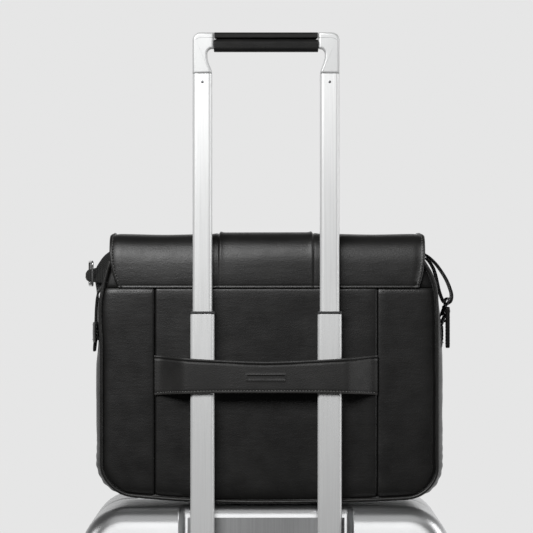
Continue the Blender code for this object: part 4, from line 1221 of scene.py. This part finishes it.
def flap():
    seams = [-FLAP_SEAM_X, FLAP_SEAM_X, -FLAP_HALF, FLAP_HALF]
    columns = stations(-FLAP_HALF, FLAP_HALF, 0.0046, seams)
    near = 0.0008, 0.0016, 0.0026, 0.0046, 0.0056
    rows = stations(0.0, FLAP_LENGTH, 0.0042, [0.0030, FLAP_LENGTH], near)
    middle = Vector((0, -0.03, TOP + 0.2))
    inside = None, middle.y, middle.z
    bm = sheet_mesh(columns, rows, lambda x, distance: flap_spot(x, distance)[0], inside)
    cover = make_piece("flap_leather", bm, CALF, None, ["flap_back", "flap_front"], lining=LINING)
    settle(thicken(cover, FLAP_WALL, 0.0007, lined=True))
    rows = []
    for side in (-1, 1):
        path = []
        for distance in stations(0.006, FLAP_LENGTH - FLAP_CORNER, 0.004):
            half = flap_reach(side, distance)
            share = (half - STITCH_MARGIN - FLAP_INNER) / (half - FLAP_INNER)
            nominal = side * (FLAP_INNER + share * (FLAP_HALF - FLAP_INNER))
            path.append(flap_spot(nominal, distance, 0.00070)[0])
        rows.append((path, lambda centre: (0, centre.y - middle.y, centre.z - middle.z)))
    lower_x = stations(-0.150, 0.150, 0.005)
    lower = [flap_spot(x, FLAP_LENGTH - STITCH_MARGIN, 0.00025)[0] for x in lower_x]
    rows.append((lower, (0, 1, 0)))
    stitches = stitching("flap_stitches", rows, None, lean=0.18)
    for obj in (cover, stitches):
        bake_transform(obj)


def seam_stitches():
    """The row that shows under the outer ends of the cross seam."""
    rows = []
    for side in (-1, 1):
        places = stations(0.128, 0.166, 0.004)
        path = [Vector((side * x, BAG_BACK_Y - 0.0001, SEAM_Z - STITCH_MARGIN)) for x in places]
        rows.append((path, (0, -1, 0)))
    stitching("cross_seam_stitches", rows, "bag", radius=0.00036)


# ---------------------------------------------------------------- trolley strap and shoulder strap


WEBBING_HALF = 0.015
STRAP_BAR_HALF = 0.0205
STRAP_BAR_RISE = 0.0022


def strap_edges(x):
    """The trolley strap's lower and upper edge: it narrows from its sewn ends to its middle."""
    share = abs(x) / SEAM_X
    return TOP + 0.1270 - 0.0036 * share**4, TOP + 0.1612 + 0.0064 * share**1.4


def strap_y(x):
    """How far back the strap lies: flat over the tubes, then slanting to its sewn ends."""
    flat_half, taper_half = 0.0890, 0.1190
    back, sewn = -0.1085, BAG_BACK_Y - 0.0016
    slant = min(1, max(0, (abs(x) - flat_half) / (taper_half - flat_half)))
    return mix(back, sewn, ease(flat_half, taper_half, abs(x)) * 0.35 + 0.65 * slant)


def strap_spot(x, up, out=0.0):
    low, high = strap_edges(x)
    z = mix(low, high, up)
    height = high - low
    from_top, from_low = (1 - up) * height, up * height
    relief = 0.0006 * dent(from_top - 0.0014, 0.0011) - 0.0009 * dent(from_top - 0.0036, 0.0009)
    relief -= 0.0004 * dent(from_low - 0.0024, 0.0010)
    relief -= 0.0006 * dent(from_low, 0.0006)
    relief += 0.0004 * noise.noise(Vector((x * 16, z * 22, 31.0)))
    relief += 0.0005 * dent(abs(x) - TUBE_X, 0.016) - 0.0004 * dent(x, 0.030)
    gap = max(abs(x) - STRAP_BAR_HALF, abs(z - (TOP + 0.1440)) - STRAP_BAR_RISE)
    relief -= 0.0006 * (1 - ease(-0.0005, 0.0005, gap)) - 0.0004 * dent(gap - 0.0009, 0.0006)
    return Vector((x, strap_y(x) - 0.0013 - relief - out, z))


def trolley_strap():
    ends = [-STRAP_BAR_HALF, STRAP_BAR_HALF, -0.1236, 0.1236]
    columns = stations(-SEAM_X, SEAM_X, 0.0030, ends, (0.0005, 0.0010, 0.0016, 0.0024))
    rows = [0.0, 0.015, 0.03, 0.05, 0.065, 0.085, 0.11, 0.15, 0.20, 0.26, 0.32, 0.38, 0.40, 0.415, 0.43]
    rows += [0.445, 0.46, 0.48, 0.50, 0.52, 0.54, 0.555, 0.57, 0.585, 0.60, 0.64, 0.70, 0.76, 0.81, 0.84]
    rows += [0.86, 0.875, 0.89, 0.905, 0.92, 0.935, 0.95, 0.965, 0.98, 1.0]
    bm = sheet_mesh(columns, rows, strap_spot, (None, 0, None))
    thicken(make_piece("trolley_band", bm, STRAP_LEATHER, "bag", ["trolley_strap"]), 0.0026, 0.0007)
    row = []
    for x in stations(-0.1215, 0.1215, 0.004):
        low, high = strap_edges(x)
        row.append(strap_spot(x, 0.0024 / (high - low), 0.0001))
    sizes = {"radius": 0.00045, "length": 0.0023, "lean": 0.30}
    stitching("trolley_band_stitches", [(row, (0, -1, 0))], "bag", **sizes)


def webbing_piece(name, rows, thickness, nodes=()):
    """Flat webbing through stations of a centre and a half-width way, with its own UV map in metres."""
    path = smooth_path(rows, 6)
    centres = [Vector(p[:3]) for p in path]
    reach = along(centres)
    spots = {distance: (Vector(p[:3]), Vector(p[3:])) for distance, p in zip(reach, path)}

    def place(across, distance):
        centre, half = spots[distance]
        return centre + half * (across / WEBBING_HALF)

    across = [mix(-WEBBING_HALF, WEBBING_HALF, i / 9) for i in range(10)]
    bm = sheet_mesh(across, reach, place)
    return thicken(make_piece(name, bm, WEBBING, "bag", nodes, 60), thickness, 0.0004, offset=0.0)


def shoulder_strap():
    y = STRAP_MIDDLE_Y
    inside = [(0.128, 0.150), (0.140, 0.240), (0.1465, 0.268), (0.157, 0.2805), (0.170, 0.2830)]
    below = [(-0.100, 0.075), (-0.055, 0.037), (0.0, 0.030), (0.055, 0.037), (0.100, 0.075)]
    right = [(0.1813, 0.2785), (0.1900, 0.2712), (0.1970, 0.2625), (0.2040, 0.2510), (0.2085, 0.2400)]
    right += [(0.2100, 0.2330), (0.2088, 0.2268), (0.2050, 0.2240), (0.2012, 0.2256), (0.1985, 0.2310)]
    right += [(0.1958, 0.2390), (0.1938, 0.2480), (0.1920, 0.2560), (0.1893, 0.2640), (0.1853, 0.2708)]
    right += [(0.1808, 0.2758)]
    run = [(-x, z) for x, z in reversed(inside[:3])] + below + inside + right
    rows = [(x, y, TOP + z, 0.0, WEBBING_HALF, 0.0) for x, z in run]
    webbing_piece("shoulder_webbing", rows, 0.0021, ["shoulder_strap"])
    drop = [(-0.1465, y, 0.268, 0.0, 0.0150, 0.0), (-0.1550, -0.036, 0.2775, -0.003, 0.0140, 0.003)]
    drop += [(-0.1630, -0.041, 0.2775, -0.0070, 0.0100, 0.0075)]
    drop += [(-0.1700, -0.045, 0.2705, -0.0106, 0.0040, 0.0092)]
    drop += [(-0.1768, -0.047, 0.2620, -0.0110, 0.0012, 0.0088)]
    drop += [(-0.1826, -0.0475, 0.2540, -0.0094, 0.0030, 0.0080)]
    drop += [(-0.1876, -0.045, 0.2460, -0.0050, 0.0110, 0.0042)]
    drop += [(-0.1902, -0.039, 0.2360, -0.0012, 0.0146, 0.0010)]
    drop += [(-0.1914, -0.034, 0.2220, 0.0, 0.0150, 0.0), (-0.1922, y, 0.2050, 0.0, 0.0150, 0.0)]
    drop += [(-0.1924, y, 0.1900, 0.0, 0.0150, 0.0), (-0.1934, y, 0.1800, 0.0, 0.0150, 0.0)]
    drop += [(-0.1940, y, 0.1740, 0.0, 0.0130, 0.0), (-0.1942, y, 0.1700, 0.0, 0.0080, 0.0)]
    end = [(-0.1800, -0.0500, 0.2570, 0.0, 0.0050, 0.0110)]
    end += [(-0.1880, -0.0510, 0.2566, 0.0, 0.0060, 0.0086)]
    end += [(-0.1950, -0.0510, 0.2562, 0.0, 0.0060, 0.0068)]
    end += [(-0.1990, -0.0505, 0.2560, 0.0, 0.0060, 0.0062)]
    end += [(-0.2014, -0.0500, 0.2560, 0.0, 0.0050, 0.0046)]
    end += [(-0.2030, -0.0500, 0.2560, 0.0, 0.0022, 0.0018)]
    for name, rows, thickness in (("drop", drop, 0.0023), ("twist", end, 0.0021)):
        rows = [(x, deep, TOP + z, *half) for x, deep, z, *half in rows]
        webbing_piece(f"strap_{name}_left", rows, thickness)


def rounded_loop(centre, across, up, half_across, half_up, corner, steps=5):
    """A closed path: a rounded rectangle in the plane of two directions."""
    path = []
    for sign_a, sign_b, start in ((1, 1, 0), (-1, 1, 90), (-1, -1, 180), (1, -1, 270)):
        for i in range(steps + 1):
            angle = math.radians(start + 90 * i / steps)
            a = sign_a * (half_across - corner) + corner * math.cos(angle)
            b = sign_b * (half_up - corner) + corner * math.sin(angle)
            path.append(centre + across * a + up * b)
    return path


def adjuster():
    turn = math.radians(10)
    across = Vector((-math.sin(turn), math.cos(turn), 0))
    centre = Vector((-0.1977, -0.040, TOP + 0.2580))
    wide, tall = 0.0185, 0.0135
    buckle = wire_mesh(rounded_loop(centre, across, UP, wide, tall, 0.0035), 0.0011, 10, closed=True)
    bar = [centre + across * -0.004 + Vector((0, 0, z)) for z in (-tall, 0.0, tall)]
    merge(buckle, wire_mesh(bar, 0.0010, 10))
    make_piece("adjuster_frame", buckle, NICKEL, "bag", ["strap_adjuster"], 80)


def strap_patch():
    """The patch that sews the webbing's left end to the gusset, curved round its two ends."""
    patch_x = -0.1948

    def place(y, z):
        share = (y + 0.035) / 0.042
        swell = 0.0044 * abs(share) ** 3.0 - 0.0004 * dent(z - (TOP + 0.1925), 0.009)
        return Vector((patch_x + swell, y, z))

    across, up = stations(-0.0765, 0.004, 0.003), stations(TOP + 0.1815, TOP + 0.2035, 0.0016)
    patch = make_piece(
        "strap_patch_left", sheet_mesh(across, up, place, (0, None, None)), CALF, "bag", ["side_tab_left"]
    )
    thicken(patch, 0.0016, 0.0006)
    rows = []
    for z in (0.1842, 0.2008):
        path = [place(y, TOP + z) + Vector((-0.0001, 0, 0)) for y in stations(-0.0745, 0.002, 0.004)]
        rows.append((path, (-1, 0, 0)))
    stitching("strap_patch_stitches", rows, "bag", radius=0.0005)


def ring_tab():
    """The leather tab folded over the ring on the right, and the ring."""
    y = STRAP_MIDDLE_Y
    low, high = TOP + 0.1752, TOP + 0.2002
    inner_x, outer_x, bend = 0.1932, 0.1992, 0.0030
    fold = [(inner_x, low), (inner_x, mix(low, high, 0.5)), (inner_x, high - bend)]
    fold += arc((inner_x + outer_x) / 2, high - bend, bend, 180, 0, 8)
    fold += [(outer_x, mix(low, high, 0.5)), (outer_x - 0.0012, low)]
    path = [Vector((x, 0, z)) for x, z in fold]
    reach = along(path)

    def place(across, distance):
        point, _ = at_distance(path, reach, distance)
        return Vector((point.x, y + across, point.z))

    rows = sorted(set(reach + stations(0.0, reach[-1], 0.002)))
    bm = sheet_mesh([-0.0105, -0.0098, -0.006, 0.0, 0.006, 0.0098, 0.0105], rows, place)
    tab = make_piece("ring_tab_right", bm, CALF, "bag", ["side_tab_right"], 60)
    thicken(tab, 0.0016, 0.0005, offset=0.0)
    edge = [Vector((outer_x + 0.0008, y - 0.0080, z)) for z in stations(low + 0.003, high - 0.006, 0.003)]
    other = [p + Vector((0, 0.0160, 0)) for p in edge]
    stitching("ring_tab_stitches", [(edge, (1, 0, 0)), (other, (1, 0, 0))], "bag")
    centre = Vector((0.1985, y, TOP + 0.2010))
    ring = [centre + Vector((0.34 * v, u, 0.94 * v)) for u, v in arc(0, 0, 0.0118, 0, 180, 14)]
    ring = wire_mesh(ring, 0.0013, 10, closed=True)
    make_piece("ring_right", ring, GUNMETAL, "bag", ["d_ring_right"], 80)


def hook():
    """The snap hook: a turned swivel, the claw on the ring, the eye, the strap's loop and a thumb lever."""
    y = STRAP_MIDDLE_Y
    low, high = Vector((0.1992, y, TOP + 0.2118)), Vector((0.2040, y, TOP + 0.2238))
    way = (high - low).normalized()
    swivel = [(0.0, -0.0012), (0.0018, -0.0010), (0.0026, 0.0004), (0.0026, 0.0068), (0.0031, 0.0074)]
    swivel += [(0.0031, 0.0092), (0.0024, 0.0100), (0.0017, 0.0118), (0.0, 0.0124)]
    made = turned_mesh(swivel, Vector((0, 0, 0)), UP, 24)
    turn = UP.rotation_difference(way).to_matrix().to_4x4()
    bmesh.ops.transform(made, matrix=Matrix.Translation(low) @ turn, verts=made.verts)
    claw_centre = Vector((0.2006, y, TOP + 0.2078))
    claw = [claw_centre + Vector((a, 0, b)) for a, b in arc(0, 0, 0.0042, 0, 345, 22)]
    merge(made, wire_mesh(claw, 0.0013, 10, closed=True))
    eye_centre = Vector((0.2042, y - 0.0006, TOP + 0.2262))
    eye = [eye_centre + Vector((a * 0.80, a * 0.60, b)) for a, b in arc(0, 0, 0.0038, 0, 345, 22)]
    merge(made, wire_mesh(eye, 0.0010, 10, closed=True))
    loop_centre = Vector((0.2046, y, TOP + 0.2262))
    loop = rounded_loop(loop_centre, Vector((0, 1, 0)), way, 0.0185, 0.0042, 0.0028)
    merge(made, wire_mesh(loop, 0.0011, 10, closed=True))
    thumb = (0.2026, 0.003, 0.2085), (0.2042, 0.004, 0.2115), (0.2058, 0.004, 0.2165)
    lever = [Vector((x, y - back, TOP + z)) for x, back, z in thumb]
    merge(made, wire_mesh(smooth_path(lever, 5), 0.0010, 8))
    make_piece("hook_right", made, GUNMETAL, "bag", ["snap_hook_right"], 60)


def hanging_tab():
    """The leather end tab that hangs from the loop, with its rivet and two sewn edges."""
    low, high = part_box("strap_end_tab")
    tab = block_mesh(low, high, axis=0, radius=0.0030, radius_segments=5)
    round_edges(tab, 0.0009, 3, 60)
    crisp(make_piece("hanging_tab", tab, CALF, "bag", ["strap_end_tab"]))
    rivets = bmesh.new()
    for x, way in ((high.x, 1), (low.x, -1)):
        centre = (x - way * 0.0001, (low.y + high.y) / 2, high.z - 0.0050)
        merge(rivets, rivet_mesh(centre, 0.0024, 0.0008, (way, 0, 0)))
    make_piece("hanging_tab_rivet", rivets, GUNMETAL, "bag")
    rows = []
    for margin in (0.0022, high.y - low.y - 0.0022):
        for x, way in ((high.x, 1), (low.x, -1)):
            places = (low.z + 0.003, high.z - 0.010)
            path = [Vector((x - way * 0.0001, low.y + margin, z)) for z in places]
            rows.append((path, (way, 0, 0)))
    stitching("hanging_tab_stitches", rows, "bag")


# ---------------------------------------------------------------- studio


def light(name, place, aim, size, power):
    data = bpy.data.lights.new(name, "AREA")
    data.shape = "RECTANGLE"
    data.size, data.size_y = size
    data.energy = power
    lamp = bpy.data.objects.new(name, data)
    bpy.context.scene.collection.objects.link(lamp)
    lamp.location = place
    lamp.visible_camera = False
    lamp.rotation_euler = (Vector(aim) - Vector(place)).to_track_quat("-Z", "Y").to_euler()
    return lamp


BACKDROP = 0.791, 0.791, 0.791
CASE_LIT = bpy.data.collections.new("case_lit_from_the_front")
CASE_UNLIT = bpy.data.collections.new("case_out_of_the_key")


def studio():
    bm = bmesh.new()
    bmesh.ops.create_circle(bm, cap_ends=True, segments=96, radius=2.9)
    mesh = bpy.data.meshes.new("floor")
    bm.to_mesh(mesh)
    bm.free()
    mesh.materials.append(make_floor())
    floor = bpy.data.objects.new("floor", mesh)
    bpy.context.scene.collection.objects.link(floor)
    floor.visible_diffuse = False
    floor.visible_glossy = False

    world = bpy.data.worlds.new("studio")
    bpy.context.scene.world = world
    world.use_nodes = True
    world.node_tree.nodes.clear()
    out, path = add_node(world, "ShaderNodeOutputWorld"), add_node(world, "ShaderNodeLightPath")
    seen = add_node(world, "ShaderNodeBackground", inputs={"Color": (*BACKDROP, 1)})
    lit, blend = add_node(world, "ShaderNodeBackground"), add_node(world, "ShaderNodeMixShader")
    place, height = add_node(world, "ShaderNodeTexCoord"), add_node(world, "ShaderNodeSeparateXYZ")
    turn = add_node(world, "ShaderNodeVectorMath", {"operation": "DOT_PRODUCT"})
    turn.inputs[1].default_value = Vector((0.35, 0.93, 0.0)).normalized()
    wire_up(world, place, "Generated", turn, 0)
    wire_up(world, place, "Generated", height, 0)
    product = add_node(world, "ShaderNodeMath", {"operation": "MULTIPLY"})
    ranges = ((turn, "Value", -0.3, 1.0, 0.04, 0.90), (height, "Z", 0.15, 0.60, 1.0, 0.15))
    for index, (source, socket, low, high, start, end) in enumerate(ranges):
        limits = {"From Min": low, "From Max": high, "To Min": start, "To Max": end}
        spread = add_node(world, "ShaderNodeMapRange", inputs=limits)
        wire_up(world, source, socket, spread, "Value")
        wire_up(world, spread, "Result", product, index)
    wire_up(world, product, "Value", lit, "Color")
    wire_up(world, path, "Is Camera Ray", blend, "Fac")
    wire_up(world, lit, "Background", blend, 1)
    wire_up(world, seen, "Background", blend, 2)
    wire_up(world, blend, "Shader", out, "Surface")

    key = light("key", (-0.50, -1.30, 1.58), (0.0, -0.10, 0.90), (1.1, 0.66), 26.5)
    key.light_linking.receiver_collection = CASE_UNLIT
    front = light("front", (-0.05, -1.40, 0.60), (0.0, -0.10, 0.50), (1.2, 1.0), 6.4)
    over = light("over", (0.0, -0.60, 1.15), (0.0, -0.10, 0.54), (1.2, 0.5), 1.0)
    left = light("left", (-1.50, -0.70, 0.75), (-0.15, -0.05, 0.50), (0.6, 1.0), 4.0)
    for lamp in (front, over, left):
        lamp.light_linking.receiver_collection = CASE_LIT
    light("side", (1.9, -0.5, 1.25), (0.0, -0.05, 0.8), (0.9, 1.6), 13.0)


def light_case():
    for name in ("back_shell", "front_shell"):
        for group, state in ((CASE_LIT, "INCLUDE"), (CASE_UNLIT, "EXCLUDE")):
            group.objects.link(bpy.data.objects[name])
            group.collection_objects[-1].light_linking.link_state = state


def camera():
    data = bpy.data.cameras.new("camera")
    data.sensor_width = 36.0
    data.lens = 152.4
    data.clip_start, data.clip_end = 0.05, 60.0
    obj = bpy.data.objects.new("camera", data)
    bpy.context.scene.collection.objects.link(obj)
    obj.location = (0.0005, -2.589, TOP + 0.266)
    obj.rotation_euler = (math.pi / 2, 0, 0)
    bpy.context.scene.camera = obj


bpy.context.scene.view_settings.view_transform = "Standard"
camera()
studio()
case_shells()
light_case()
pull_handle()
for caster_row in ("back", "front"):
    for caster_side in ("left", "right"):
        caster(caster_row, caster_side)
case_fittings()
back_panels()
yoke()
gusset()
pipings()
front_panel()
base_board()
padded_divider()
flap()
seam_stitches()
trolley_strap()
shoulder_strap()
adjuster()
strap_patch()
ring_tab()
hook()
hanging_tab()
